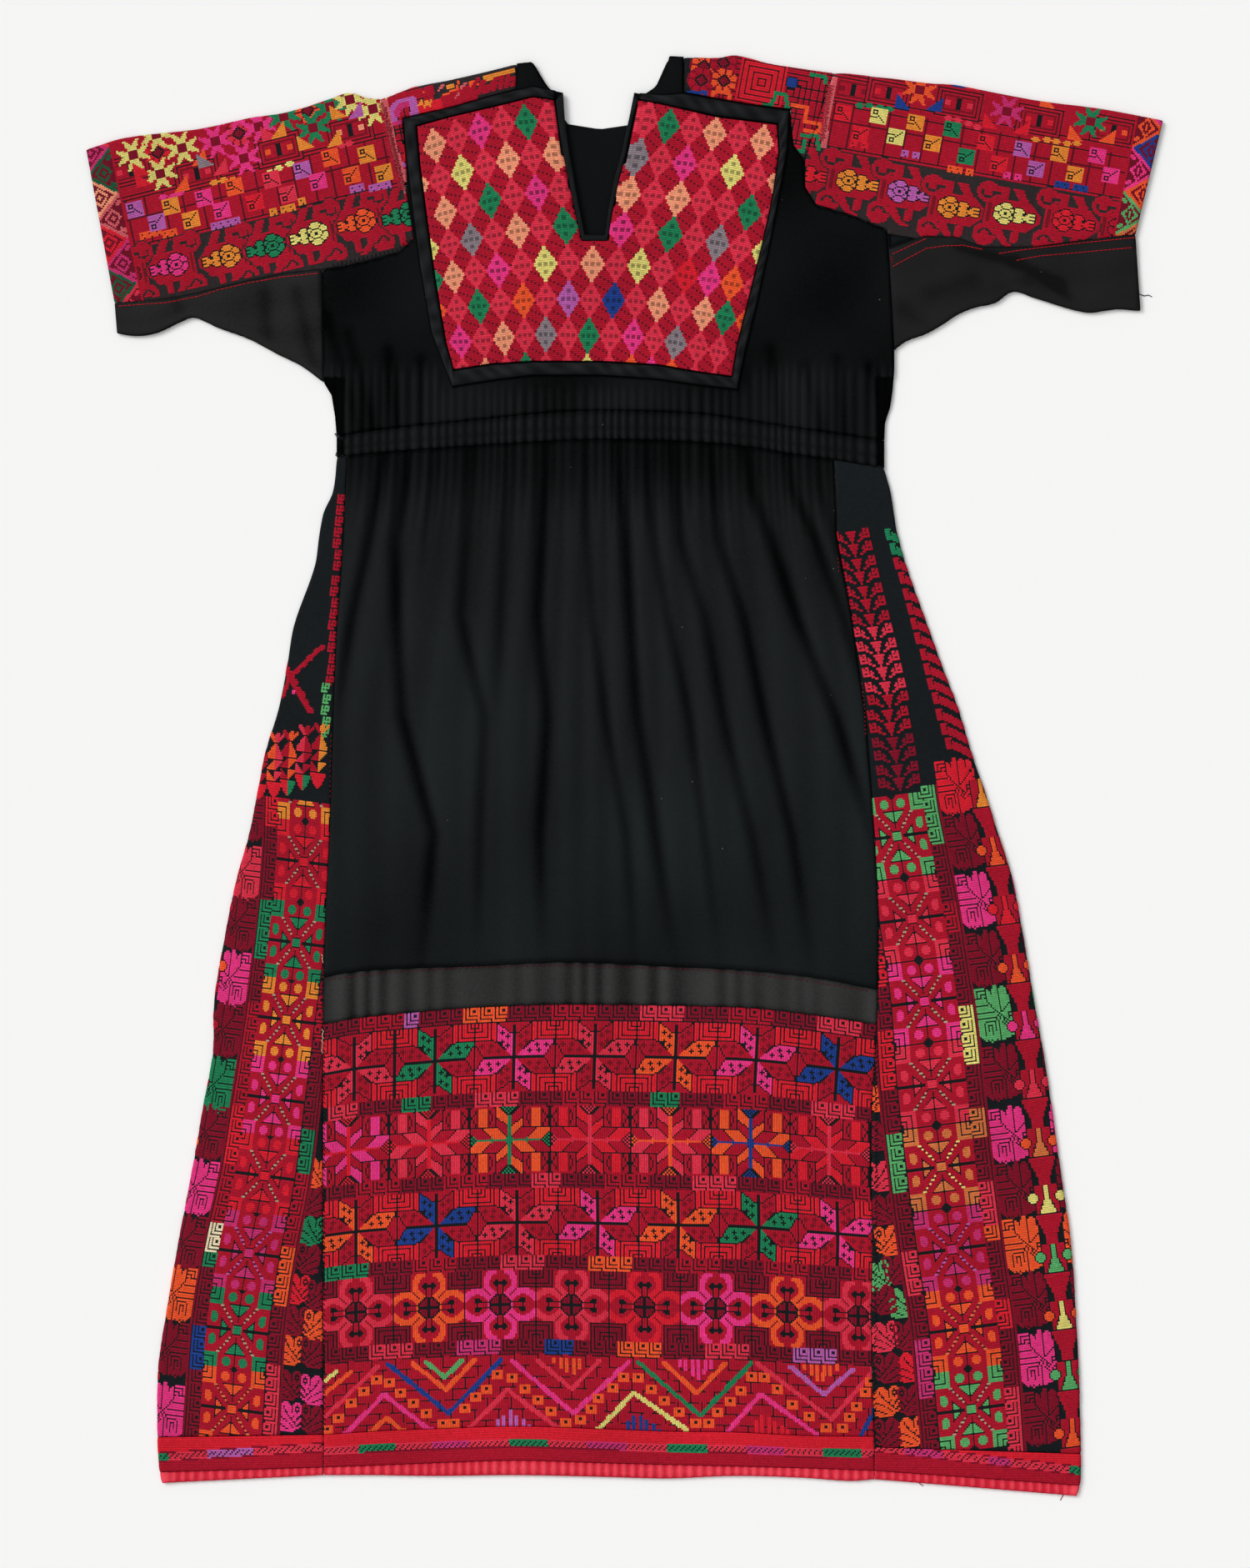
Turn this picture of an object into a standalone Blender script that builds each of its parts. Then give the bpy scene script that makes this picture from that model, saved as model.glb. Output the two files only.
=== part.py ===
"""A hand-embroidered dress laid out flat on its back.

Every table is drafted on squared paper: x runs right and y runs down the
dress, both in squares, and heights are in millimetres above the surface
that the dress lies on. place() turns a drafted point into metres.

The back layer lies flat. The front layer lies just over it. The side
panels, sleeves, gussets and shoulder pieces are cut in one with their
backs and fold round the edge of the laid-out dress.
"""
import math

import bmesh
import bpy
from mathutils.geometry import delaunay_2d_cdt

for item in list(bpy.data.objects):
    bpy.data.objects.remove(item, do_unlink=True)

SQUARE = 0.727          # mm across one square of the draft
MIDDLE_X = 749.5        # the square under the origin
MIDDLE_Y = 930.4
SEAM = 0.3              # mm between pieces that are sewn together
CLOTH = 1.2             # mm, wall of plain cotton
STITCHED = 1.6          # mm, wall of cotton covered in cross stitch
BACK = 1.3              # mm, pieces that only lie on the floor
FRONT = 4.3             # mm, top of the front layer where it lies smooth
GATHERS = 60            # gathers across the front of the waist
GATHER_RISE = 1.3       # mm, height of a waist gather
STEPS = 3               # columns of points in each gather
SKIRT_COLUMNS = 72

BLACK = (0.012, 0.014, 0.015)
FADED = (0.030, 0.030, 0.030)
SATIN = (0.045, 0.045, 0.050)
RED = (0.380, 0.014, 0.030)
CORAL = (0.560, 0.040, 0.060)

# The sides of the skirt: where each side folds, and the long seams.
SIDES = [
    # y, left fold, left seam, right seam, right fold
    (590, 399, 415.1, 1001.5, 1069),
    (615, 388, 414.1, 1002.3, 1073),
    (640, 383, 413, 1003, 1077),
    (680, 377, 410.1, 1010.3, 1088),
    (750, 352.5, 405, 1023, 1113),
    (800, 344, 402.8, 1029.8, 1131),
    (850, 334, 400.5, 1036.5, 1150),
    (900, 319, 399, 1040.7, 1165),
    (950, 309, 397.5, 1044.8, 1182),
    (1000, 299, 396, 1049, 1198),
    (1050, 285, 393.5, 1051.5, 1214),
    (1100, 274, 391, 1054, 1224),
    (1200, 257, 388, 1053, 1241),
    (1262, 255.5, 388, 1050, 1252),
    (1320, 245, 388, 1046, 1261),
    (1400, 231, 388, 1045, 1272),
    (1490, 214, 388, 1047, 1285),
    (1575, 199.5, 388, 1045, 1291),
    (1640, 190, 388.5, 1046, 1294.5),
]
SKIRT_LEVELS = (590, 640, 695, 750, 800, 850, 925, 1000, 1100)
PANEL_LEVELS = (1262, 1320, 1400, 1490, 1575, 1640)

# The gathered casing at the waist.
WAIST = [
    # x, top, bottom
    (404, 524, 549), (440, 518, 545), (500, 511, 540), (560, 505, 536),
    (640, 497, 531), (700, 493, 528), (760, 493, 528), (840, 497, 531),
    (900, 505, 537), (950, 513, 545), (1000, 520, 552), (1061, 529, 562),
]

# The plain strip that joins the skirt to the embroidered hem panel.
STRIP = [
    # x, top, bottom
    (388, 1172, 1229), (430, 1165, 1221), (500, 1161, 1214),
    (560, 1159, 1209), (660, 1154, 1205), (720, 1155, 1205),
    (800, 1159, 1206), (900, 1164, 1209), (980, 1173, 1218),
    (1053, 1187, 1229),
]

# The red hem band and the lighter facing that shows below it.
HEM = [
    # x, top of band, top of facing, lower edge
    (389, 1720, 1759, 1769), (450, 1716, 1757, 1769),
    (520, 1713, 1754, 1770), (620, 1710, 1751, 1769),
    (720, 1713, 1754, 1771), (800, 1716, 1756, 1773),
    (880, 1717, 1758, 1770), (960, 1721, 1760, 1772),
    (1020, 1722, 1762, 1776), (1049, 1722, 1763, 1774),
]
LEFT_HEM = [
    # fold x, fold y, seam x, seam y
    (189, 1723, 389, 1720), (191.5, 1765, 389, 1759),
    (194, 1778.5, 389, 1769),
]
RIGHT_HEM = [
    # fold x, fold y, seam x, seam y
    (1297, 1743, 1049, 1735), (1296, 1781, 1049, 1763),
    (1292.5, 1794, 1049, 1774),
]

# The bodice: necklines, sides and back neck.
LEFT_NECK = [(620, 77), (639, 75), (645, 84), (652, 97), (661, 109)]
RIGHT_NECK = [(773, 114), (785, 106), (795, 93), (800, 80), (803, 68)]
RIGHT_SIDE = [(1073, 445), (1071, 470), (1068, 490), (1062, 508)]
LEFT_SIDE = [(402, 500), (398, 475)]
BACK_NECK = [(655, 100), (668, 130), (682, 149), (720, 155), (755, 150),
             (769, 130), (786, 106)]

# The bound edge round the chest panel: its outer and its inner line.
CHEST = [
    # outer x, outer y, inner x, inner y
    (667, 110, 667, 122), (640, 104, 640, 118), (600, 113, 600, 128),
    (540, 130, 540, 142), (483, 143, 501, 153), (487, 190, 505, 200),
    (494, 250, 513, 262), (503, 320, 523, 335), (517, 400, 536, 412),
    (543, 466, 545, 444), (600, 457, 590, 437), (640, 452, 640, 434),
    (720, 452, 720, 434), (790, 457, 790, 438), (840, 464, 840, 447),
    (885, 469, 878, 452), (894, 425, 884, 415), (910, 360, 899, 355),
    (925, 290, 914, 295), (937, 225, 927, 235), (945, 180, 934, 185),
    (948, 133, 932, 151), (900, 126, 900, 147), (860, 119, 860, 142),
    (821, 112, 821, 133), (795, 114, 795, 127), (768, 113, 766, 121),
]

# The bound edge of the neck slit: the line on the panel and the open one.
SLIT = [
    # panel x, panel y, open x, open y
    (667, 122, 676, 112), (670, 150, 678, 145), (677, 190, 684, 186),
    (687, 240, 693, 236), (698, 290, 702, 283), (729, 290, 726, 283),
    (735, 255, 730, 252), (742, 220, 737, 216), (751, 187, 746, 183),
    (759, 145, 755, 142), (766, 121, 761, 112),
]

# Pieces that fold round an edge: a line from the fold to the seam each.
LEFT_SHOULDER = [
    # fold x, fold y, seam x, seam y
    (620, 77, 619, 108), (580, 87, 580, 119), (540, 96, 540, 130),
    (500, 104, 500, 139), (480, 111, 483, 143), (468, 116, 488, 195),
    (457, 119, 489, 236),
]
LEFT_SLEEVE = [
    # fold x, fold y, seam x, seam y
    (104, 180, 138, 364), (150, 166, 190, 361), (240, 155, 240, 352),
    (300, 142, 300, 337), (345, 135, 340, 329), (400, 118, 386, 324),
    (413, 113, 413, 319), (426, 113, 440, 313), (440, 118, 481, 302),
    (449, 119, 497, 286), (457, 119, 489, 236),
]
LEFT_GUSSET = [
    # fold x, fold y, seam x, seam y
    (141, 401, 138, 364), (165, 404, 164, 362.5), (190, 400, 190, 361),
    (220, 386, 215, 356.5), (234, 382, 240, 352), (262, 394, 270, 344.5),
    (300, 408, 300, 337), (332, 425, 340, 329), (362, 440, 363, 326.5),
    (389, 460, 386, 324),
]
RIGHT_SHOULDER = [
    # fold x, fold y, seam x, seam y
    (821, 69, 821, 112), (860, 70, 860, 119), (884, 67, 900, 126),
    (920, 76, 949, 132), (955, 82, 949, 150), (977, 85, 952, 175),
    (1000, 88, 966, 193),
]
RIGHT_SLEEVE = [
    # fold x, fold y, seam x, seam y
    (1000, 88, 966, 193), (1020, 89, 966, 225), (1045, 92, 979, 246),
    (1080, 96, 1020, 258), (1110, 100, 1064, 276), (1122, 101, 1066, 300),
    (1142, 102, 1110, 284), (1160, 105, 1145, 285), (1200, 113, 1180, 297),
    (1250, 122, 1240, 297), (1320, 131, 1308, 288), (1395, 145, 1362, 282),
]
RIGHT_GUSSET = [
    # fold x, fold y, seam x, seam y
    (1073, 421, 1066, 300), (1088, 410, 1088, 292), (1110, 402, 1110, 284),
    (1130, 391, 1127.5, 284.5), (1150, 378, 1145, 285),
    (1170, 370, 1162.5, 291), (1195, 364, 1180, 297), (1215, 351, 1215, 297),
    (1240, 358, 1240, 297), (1285, 372, 1274, 292.5), (1308, 376, 1308, 288),
    (1340, 372, 1335, 285), (1368, 374, 1362, 282),
]

# Soft folds that run down the skirt, by their troughs.
TROUGH_LEVELS = (540, 640, 740, 860, 980, 1160)
TROUGHS = [
    # x at each level, width, depth, last y
    (462, 436, 416, 405, 402, 400, 6, 1.2, 800),
    (492, 480, 480, 486, 526, 512, 8, 2.2, 1200),
    (530, 521, 516, 512, 508, 505, 6, 0.8, 720),
    (580, 561, 551, 590, 578, 588, 8, 1.6, 1200),
    (611, 606, 602, 600, 600, 600, 6, 0.8, 740),
    (656, 651, 650, 660, 651, 658, 7, 2.1, 1200),
    (703, 705, 718, 740, 750, 760, 7, 1.1, 960),
    (748, 755, 766, 777, 790, 820, 8, 2.2, 1200),
    (783, 795, 808, 830, 845, 868, 7, 1.1, 1100),
    (818, 838, 856, 880, 902, 930, 7, 1.4, 1150),
    (852, 873, 896, 923, 950, 975, 8, 2.0, 1010),
    (897, 926, 963, 1006, 1052, 1090, 8, 2.2, 1010),
    (940, 978, 1015, 1050, 1080, 1110, 7, 1.7, 800),
    (975, 992, 1008, 1040, 1070, 1100, 6, 1.0, 700),
]

# Short soft creases in the bodice and the sleeve gussets.
CREASES = [
    # x and y at one end, x and y at the other, width, depth
    (392, 380, 434, 520, 6, 0.8), (418, 400, 450, 520, 6, 0.7),
    (466, 420, 476, 512, 6, 0.7), (505, 430, 503, 508, 6, 0.6),
    (925, 420, 937, 508, 6, 0.7), (966, 440, 986, 515, 6, 0.8),
    (1004, 430, 1012, 518, 6, 0.6), (1043, 440, 1060, 486, 6, 0.7),
    (1228, 326, 1282, 372, 9, 0.9), (1140, 312, 1200, 344, 10, 0.7),
    (318, 350, 322, 415, 9, 0.6), (356, 350, 376, 440, 8, 0.6),
    (212, 362, 222, 384, 7, 0.5),
]


def between(low, high, share):
    """The value a share of the way from low to high."""
    return low + (high - low) * share


def smooth(low, high, value):
    """Rise from 0 to 1 in an S as value passes from low to high."""
    share = min(1.0, max(0.0, (value - low) / (high - low)))
    return share * share * (3 - 2 * share)


def read(table, value, column):
    """Read a column of a table at a value of its first column."""
    for low, high in zip(table, table[1:]):
        if value <= high[0] or high is table[-1]:
            share = (value - low[0]) / (high[0] - low[0])
            return between(low[column], high[column], share)


def curve(table, value, column):
    """Read a column as a smooth curve through the table's rows."""
    last = len(table) - 2
    i = sum(1 for row in table[1:-1] if row[0] < value)
    low, high = table[i], table[i + 1]
    before, after = table[max(i - 1, 0)], table[min(i + 1, last) + 1]
    span = high[0] - low[0]
    t = (value - low[0]) / span
    rise = (high[column] - before[column]) / (high[0] - before[0]) * span
    fall = (after[column] - low[column]) / (after[0] - low[0]) * span
    bend = (2 * t ** 3 - 3 * t * t + 1) * low[column]
    bend += (3 * t * t - 2 * t ** 3) * high[column]
    bend += (t ** 3 - 2 * t * t + t) * rise + (t ** 3 - t * t) * fall
    return bend


def place(x, y, z):
    """A drafted point, with its height in mm, in metres."""
    return ((x - MIDDLE_X) * SQUARE / 1000,
            (MIDDLE_Y - y) * SQUARE / 1000,
            z / 1000)


def ripple(x, y):
    """The slight rise and fall of cloth that was smoothed by hand."""
    return 0.35 * math.sin(x / 47 + y / 160) * math.sin(y / 71 - x / 300)


def trough(x, y):
    """How far the skirt's folds dip at a point, in mm."""
    total = 0.0
    for row in TROUGHS:
        path = list(zip(TROUGH_LEVELS, row[:6]))
        away = (x - read(path, y, 1)) / row[6]
        ends = 1 - smooth(row[8] - 120, row[8], y)
        total += row[7] * math.exp(-away * away) * ends
    return min(total, 2.3)


def crease(x, y):
    """How far the short creases dip at a point, in mm."""
    total = 0.0
    for x0, y0, x1, y1, width, depth in CREASES:
        run_x, run_y = x1 - x0, y1 - y0
        share = (x - x0) * run_x + (y - y0) * run_y
        share /= run_x * run_x + run_y * run_y
        share = min(1.0, max(0.0, share))
        off_x = x - x0 - run_x * share
        off_y = y - y0 - run_y * share
        reach = (off_x * off_x + off_y * off_y) / (width * width)
        total += depth * math.exp(-reach)
    return min(total, 1.0)


def gather(x):
    """The waist's gathers, 0 in a trough and 1 on a crest, unevenly."""
    share = (x - WAIST[0][0]) / (WAIST[-1][0] - WAIST[0][0])
    turn = GATHERS * share + 0.32 * math.sin(23 * share)
    turn += 0.18 * math.sin(61 * share + 1)
    high = 0.78 + 0.22 * math.sin(37 * share + 2)
    return high * (0.5 - 0.5 * math.cos(math.tau * turn))


def to_side(x, left, right):
    """Bring the front down onto the back along the dress's own sides."""
    near = min(x - left, right - x)
    return (FRONT - BACK - SEAM - CLOTH) * (1 - smooth(0, 14, near))


def bodice_top(x, y):
    """Top of the bodice front."""
    side = to_side(x, 404, 1061) if y > 455 else 0.0
    start = 469 if 528 < x < 900 else 440
    full = smooth(start, start + 22, y)
    return FRONT - side - crease(x, y) + full * gather(x) * 0.8


def waist_top(x, y):
    """Top of the waist casing."""
    return FRONT - to_side(x, 404, 1061) + GATHER_RISE * gather(x)


def skirt_top(x, y):
    """Top of the skirt front, which lifts where it hangs in folds."""
    lift = 1.9 * smooth(545, 640, y) * (1 - 0.45 * smooth(900, 1160, y))
    dip = trough(x, y) * (0.45 + 0.5 * smooth(545, 640, y))
    height = FRONT + lift + ripple(x, y) * y / 1000 - dip
    return max(height, BACK + SEAM + CLOTH)


def panel_top(x, y):
    """Top of the embroidered panels."""
    return FRONT + 0.4 + ripple(x, y)


def gusset_top(x, y):
    """Top of the gussets, which pucker under the sleeves."""
    return FRONT + 0.3 - crease(x, y)


def make(name, points, faces, colour, rough):
    """Make one closed named piece with its own material."""
    mesh = bpy.data.meshes.new(name)
    mesh.from_pydata([place(*point) for point in points], [], faces)
    form = bmesh.new()
    form.from_mesh(mesh)
    bmesh.ops.recalc_face_normals(form, faces=form.faces)
    if form.calc_volume(signed=True) < 0:
        bmesh.ops.reverse_faces(form, faces=form.faces)
    form.to_mesh(mesh)
    form.free()
    piece = bpy.data.objects.new(name, mesh)
    bpy.context.scene.collection.objects.link(piece)
    cloth = bpy.data.materials.new(name)
    cloth.use_nodes = True
    shader = cloth.node_tree.nodes["Principled BSDF"]
    shader.inputs["Base Color"].default_value = (*colour, 1.0)
    shader.inputs["Roughness"].default_value = rough
    shader.inputs["Metallic"].default_value = 0.0
    mesh.materials.append(cloth)
    return piece


def drawn_in(outline, amount):
    """Move a closed outline inward by an amount in mm."""
    area = sum(a[0] * b[1] - b[0] * a[1]
               for a, b in zip(outline, outline[1:] + outline[:1]))
    turn = (1 if area > 0 else -1) * amount / SQUARE
    moved = []
    for index, here in enumerate(outline):
        before = outline[index - 1]
        after = outline[(index + 1) % len(outline)]
        sides = []
        for start, end in ((before, here), (here, after)):
            run = (end[0] - start[0], end[1] - start[1])
            size = math.hypot(*run)
            sides.append((-run[1] / size, run[0] / size))
        mix = (sides[0][0] + sides[1][0], sides[0][1] + sides[1][1])
        scale = 1 + sides[0][0] * sides[1][0] + sides[0][1] * sides[1][1]
        scale = turn / max(scale, 0.5)
        moved.append((here[0] + mix[0] * scale, here[1] + mix[1] * scale))
    return moved


def inside(outline, x, y, clear):
    """Whether a point is inside an outline, clear of its edges."""
    odd = False
    for a, b in zip(outline, outline[1:] + outline[:1]):
        run = (b[0] - a[0], b[1] - a[1])
        share = (x - a[0]) * run[0] + (y - a[1]) * run[1]
        share /= run[0] ** 2 + run[1] ** 2
        share = min(1.0, max(0.0, share))
        away = math.hypot(x - a[0] - run[0] * share,
                          y - a[1] - run[1] * share)
        if away < clear:
            return False
        if (a[1] > y) != (b[1] > y):
            if x < a[0] + run[0] * (y - a[1]) / run[1]:
                odd = not odd
    return odd


def fill(outline, inner):
    """Triangles over an outline and the points inside it."""
    flat = outline + inner
    ring = [list(range(len(outline)))]
    found = delaunay_2d_cdt(flat, [], ring, 1, 1e-6)
    return [tuple(point) for point in found[0]], found[2]


def plate(name, outline, top, low, inner, colour, rough=0.9):
    """A flat-lying piece: a shaped top over a plain or shaped underside.

    low is the underside's height, or None for a wall of even thickness.
    """
    rim = drawn_in(outline, SEAM / 2)
    upper, above = fill(rim, inner)
    if low is None:
        lower, below = upper, above
        heights = [top(x, y) - CLOTH for x, y in lower]
    else:
        lower, below = fill(rim, [])
        heights = [low] * len(lower)
    count = len(upper)
    points = [(x, y, top(x, y)) for x, y in upper]
    points += [(x, y, z) for (x, y), z in zip(lower, heights)]
    faces = [tuple(face) for face in above]
    faces += [tuple(count + i for i in reversed(face)) for face in below]
    size = len(rim)
    for i in range(size):
        j = (i + 1) % size
        faces.append((i, j, count + j, count + i))
    return make(name, points, faces, colour, rough)


def sheet(name, rows, low, colour, rough=0.9, wall=CLOTH):
    """A piece made of rows of points, each row drawn from left to right.

    low is the height of a plain underside, or None for an even wall.
    """
    across, down = len(rows[0]), len(rows)
    points = [point for row in rows for point in row]
    faces = []
    for r in range(down - 1):
        for c in range(across - 1):
            i = r * across + c
            faces.append((i, i + 1, i + across + 1, i + across))
    base = len(points)
    if low is None:
        under = [[(x, y, z - wall) for x, y, z in row] for row in rows]
    else:
        under = [[(x, y, low) for x, y, z in row]
                 for row in (rows[0], rows[-1])]
    deep = len(under)
    points += [point for row in under for point in row]
    for r in range(deep - 1):
        for c in range(across - 1):
            i = base + r * across + c
            faces.append((i, i + across, i + across + 1, i + 1))
    last = base + (deep - 1) * across
    edge = (down - 1) * across
    for c in range(across - 1):
        faces.append((c, base + c, base + c + 1, c + 1))
        faces.append((edge + c, edge + c + 1, last + c + 1, last + c))
    for c in (0, across - 1):
        above = [r * across + c for r in range(down)]
        below = [base + r * across + c for r in range(deep)]
        if deep < down:
            faces.append(tuple(above + below[::-1]))
            continue
        for r in range(down - 1):
            faces.append((above[r], above[r + 1], below[r + 1], below[r]))
    return make(name, points, faces, colour, rough)


def trimmed(rows):
    """Lines from fold to seam, drawn in by half a seam all round."""
    rows = [list(row) for row in rows]
    step = SEAM / 2 / SQUARE
    for end, next_in in ((0, 1), (-1, -2)):
        for k in (0, 2):
            run_x = rows[next_in][k] - rows[end][k]
            run_y = rows[next_in][k + 1] - rows[end][k + 1]
            size = max(math.hypot(run_x, run_y), 1e-6)
            rows[end][k] += run_x / size * min(step, size / 2)
            rows[end][k + 1] += run_y / size * min(step, size / 2)
    for row in rows:
        run_x, run_y = row[0] - row[2], row[1] - row[3]
        size = math.hypot(run_x, run_y)
        row[2] += run_x / size * step
        row[3] += run_y / size * step
    return rows


def wrap(name, lines, top, colour, wall=CLOTH, front=8, back=3, rough=0.9):
    """A piece that folds round an edge, in sections from seam to seam.

    Each section runs over the front to the fold, round a half circle
    and back under to the seam. The inside is the same, a wall in.
    """
    outer, inner = [], []
    for fold_x, fold_y, seam_x, seam_y in trimmed(lines):
        run_x, run_y = fold_x - seam_x, fold_y - seam_y
        size = math.hypot(run_x, run_y)
        run_x, run_y = run_x / size, run_y / size
        radius = top(fold_x, fold_y) / 2
        bend = size - radius / SQUARE
        out, inn = [], []
        for i in range(front + 1):
            here = bend * i / front
            x, y = seam_x + run_x * here, seam_y + run_y * here
            z = between(top(x, y), 2 * radius, smooth(bend - 12, bend, here))
            out.append((x, y, z))
            inn.append((x, y, z - wall))
        for i in range(1, 4):
            angle = math.pi / 2 - math.pi * i / 4
            for points, arm in ((out, radius), (inn, radius - wall)):
                here = bend + arm * math.cos(angle) / SQUARE
                points.append((seam_x + run_x * here, seam_y + run_y * here,
                               radius + arm * math.sin(angle)))
        for i in range(back + 1):
            here = bend * (1 - i / back)
            x, y = seam_x + run_x * here, seam_y + run_y * here
            out.append((x, y, 0.0))
            inn.append((x, y, wall))
        outer.append(out)
        inner.append(inn)
    across, down = len(outer[0]), len(outer)
    points = [p for row in outer for p in row]
    base = len(points)
    points += [p for row in inner for p in row]
    faces = []
    for r in range(down - 1):
        for c in range(across - 1):
            i = r * across + c
            faces.append((i, i + 1, i + across + 1, i + across))
            i += base
            faces.append((i, i + across, i + across + 1, i + 1))
        for c in (0, across - 1):
            i = r * across + c
            faces.append((i, i + across, base + i + across, base + i))
    for r in (0, down - 1):
        for c in range(across - 1):
            i = r * across + c
            faces.append((i, i + 1, base + i + 1, base + i))
    return make(name, points, faces, colour, rough)


def dots(outline, step, keep):
    """Points in a square pattern inside an outline where keep allows."""
    xs = [point[0] for point in outline]
    ys = [point[1] for point in outline]
    found = []
    y = min(ys) + step / 2
    while y < max(ys):
        x = min(xs) + step / 2
        while x < max(xs):
            if keep(x, y) and inside(outline, x, y, step * 0.35):
                found.append((x, y))
            x += step
        y += step
    return found


def waist_columns():
    """The x of every column of points across the waist."""
    count = GATHERS * STEPS
    first, last = WAIST[0][0], WAIST[-1][0]
    return [between(first, last, i / count) for i in range(count + 1)]


def seam_ends(lines):
    """The seam ends of a wrapped piece's lines, in order."""
    return [(row[2], row[3]) for row in lines]


# Bodice --------------------------------------------------------------
slit_open = [(row[2], row[3]) for row in SLIT]
waist_line = [(x, curve(WAIST, x, 1)) for x in waist_columns()]
right_edge = ([(821, 69)] + seam_ends(RIGHT_SHOULDER)
              + seam_ends(RIGHT_SLEEVE)[1:6]
              + [(1073, 421)] + RIGHT_SIDE)
left_edge = (LEFT_SIDE + [(389, 460), (386, 324)]
             + seam_ends(LEFT_SLEEVE)[6:] + seam_ends(LEFT_SHOULDER)[-2::-1])
bodice = (LEFT_NECK + slit_open + RIGHT_NECK + right_edge
          + waist_line[::-1] + left_edge)
gather_dots = [(x, y - 12) for x, y in waist_line[1:-1]]
gather_dots = [dot for dot in gather_dots if inside(bodice, *dot, 2)]
soft_dots = dots(bodice, 15, lambda x, y: (x < 520 or x > 905)
                 and y < curve(WAIST, x, 1) - 28)
chest_dots = dots(bodice, 38, lambda x, y: 530 < x < 895 and y < 450)
chest_dots += [(x, 471) for x in range(524, 910, 16)]
plate("bodice_front", bodice, bodice_top, BACK + SEAM,
      gather_dots + soft_dots + chest_dots, BLACK)

coarse = waist_columns()[::9]
coarse_waist = [(x, curve(WAIST, x, 1)) for x in coarse]
bodice_rear = (LEFT_NECK[:2] + BACK_NECK + RIGHT_NECK[-1:] + right_edge
               + coarse_waist[::-1] + left_edge)
plate("bodice_back", bodice_rear, lambda x, y: BACK, 0.0, [], BLACK)

# Chest panel, its bound edge and the bound neck slit ------------------
chest_base = FRONT + SEAM
chest_line = [(row[2], row[3]) for row in CHEST]
slit_line = [(row[0], row[1]) for row in SLIT]
chest = chest_line + slit_line[-2:0:-1]
plate("chest_panel", chest, lambda x, y: chest_base + STITCHED
      + 0.12 * math.sin(x / 19) * math.sin(y / 23), chest_base,
      dots(chest, 34, lambda x, y: True), RED)


def ribbon(name, table, rise, colour, rough):
    """A narrow bound edge that runs between a table's two lines."""
    rows = trimmed([(*row[2:], *row[:2]) for row in table])
    step = SEAM / 2 / SQUARE
    lines = [[], [], []]
    for inner_x, inner_y, outer_x, outer_y in rows:
        run_x, run_y = inner_x - outer_x, inner_y - outer_y
        size = math.hypot(run_x, run_y)
        inner_x -= run_x / size * step
        inner_y -= run_y / size * step
        for line, share, drop in zip(lines, (0, 0.5, 1), (0.35, 0, 0.35)):
            line.append((between(outer_x, inner_x, share),
                         between(outer_y, inner_y, share),
                         chest_base + rise - drop))
    sheet(name, lines, chest_base, colour, rough)


ribbon("chest_binding", CHEST, STITCHED + 0.4, SATIN, 0.5)
ribbon("slit_binding", SLIT, STITCHED + 0.3, BLACK, 0.8)

# Shoulders, sleeves and gussets --------------------------------------
wrap("shoulder_left", LEFT_SHOULDER, panel_top, RED, front=4, back=2)
wrap("shoulder_right", RIGHT_SHOULDER, panel_top, RED, front=4, back=2)
wrap("sleeve_left", LEFT_SLEEVE, panel_top, RED, front=5, back=2)
wrap("sleeve_right", RIGHT_SLEEVE, panel_top, RED, front=5, back=2)
wrap("gusset_left", LEFT_GUSSET, gusset_top, FADED, front=6, back=2)
wrap("gusset_right", RIGHT_GUSSET, gusset_top, FADED, front=6, back=2)

# Waist casing --------------------------------------------------------
half = SEAM / 2 / SQUARE
casing = []
for share in (0, 0.5, 1):
    casing.append([])
    for x in waist_columns():
        high = curve(WAIST, x, 1) + half
        y = between(high, curve(WAIST, x, 2) - half, share)
        dip = 0.5 * (share == 0.5) * gather(x)
        casing[-1].append((x, y, waist_top(x, y) - dip))
sheet("waist_front", casing, BACK + SEAM, BLACK)
belt = coarse_waist + [(x, curve(WAIST, x, 2)) for x in coarse[::-1]]
plate("waist_back", belt, lambda x, y: BACK, 0.0, [], BLACK)


# Skirt ---------------------------------------------------------------
SEAM_LEFT = [(548, 417)] + [(row[0], row[2]) for row in SIDES]
SEAM_LEFT += [(1720, 389), (1800, 389)]
SEAM_RIGHT = [(552, 1000.3)] + [(row[0], row[3]) for row in SIDES]
SEAM_RIGHT += [(1735, 1049), (1800, 1049)]


def on_seam(seam, line):
    """The x at which a line across the dress meets a long seam."""
    x = seam[0][1]
    for _ in range(6):
        x = read(seam, line(x), 1)
    return x


def body_rows(upper, lower, top, columns, levels):
    """Rows of points between the long seams, from line to line.

    levels are the heights on both seams that have a row of their own.
    """
    ends = []
    for seam, inward in ((SEAM_LEFT, half), (SEAM_RIGHT, -half)):
        high, low = on_seam(seam, upper), on_seam(seam, lower)
        side = [(high + inward, 0.0)]
        for y in levels:
            x = read(seam, y, 1)
            share = (y - upper(x)) / (lower(x) - upper(x))
            side.append((x + inward, share))
        ends.append(side + [(low + inward, 1.0)])
    made = []
    for left, right in zip(*ends):
        made.append([])
        for c in range(columns + 1):
            x = between(left[0], right[0], c / columns)
            share = between(left[1], right[1], c / columns)
            y = between(upper(x) + half, lower(x) - half, share)
            made[-1].append((x, y, top(x, y)))
    return made


def waist_low(x):
    """The lower line of the casing."""
    return curve(WAIST, x, 2)


def strip_high(x):
    """The line where the skirt meets the joining strip."""
    return curve(STRIP, x, 1)


def strip_low(x):
    """The line where the joining strip meets the hem panel."""
    return curve(STRIP, x, 2)


def band_high(x):
    """The line where the hem panel meets the hem band."""
    return curve(HEM, x, 1)


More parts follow.
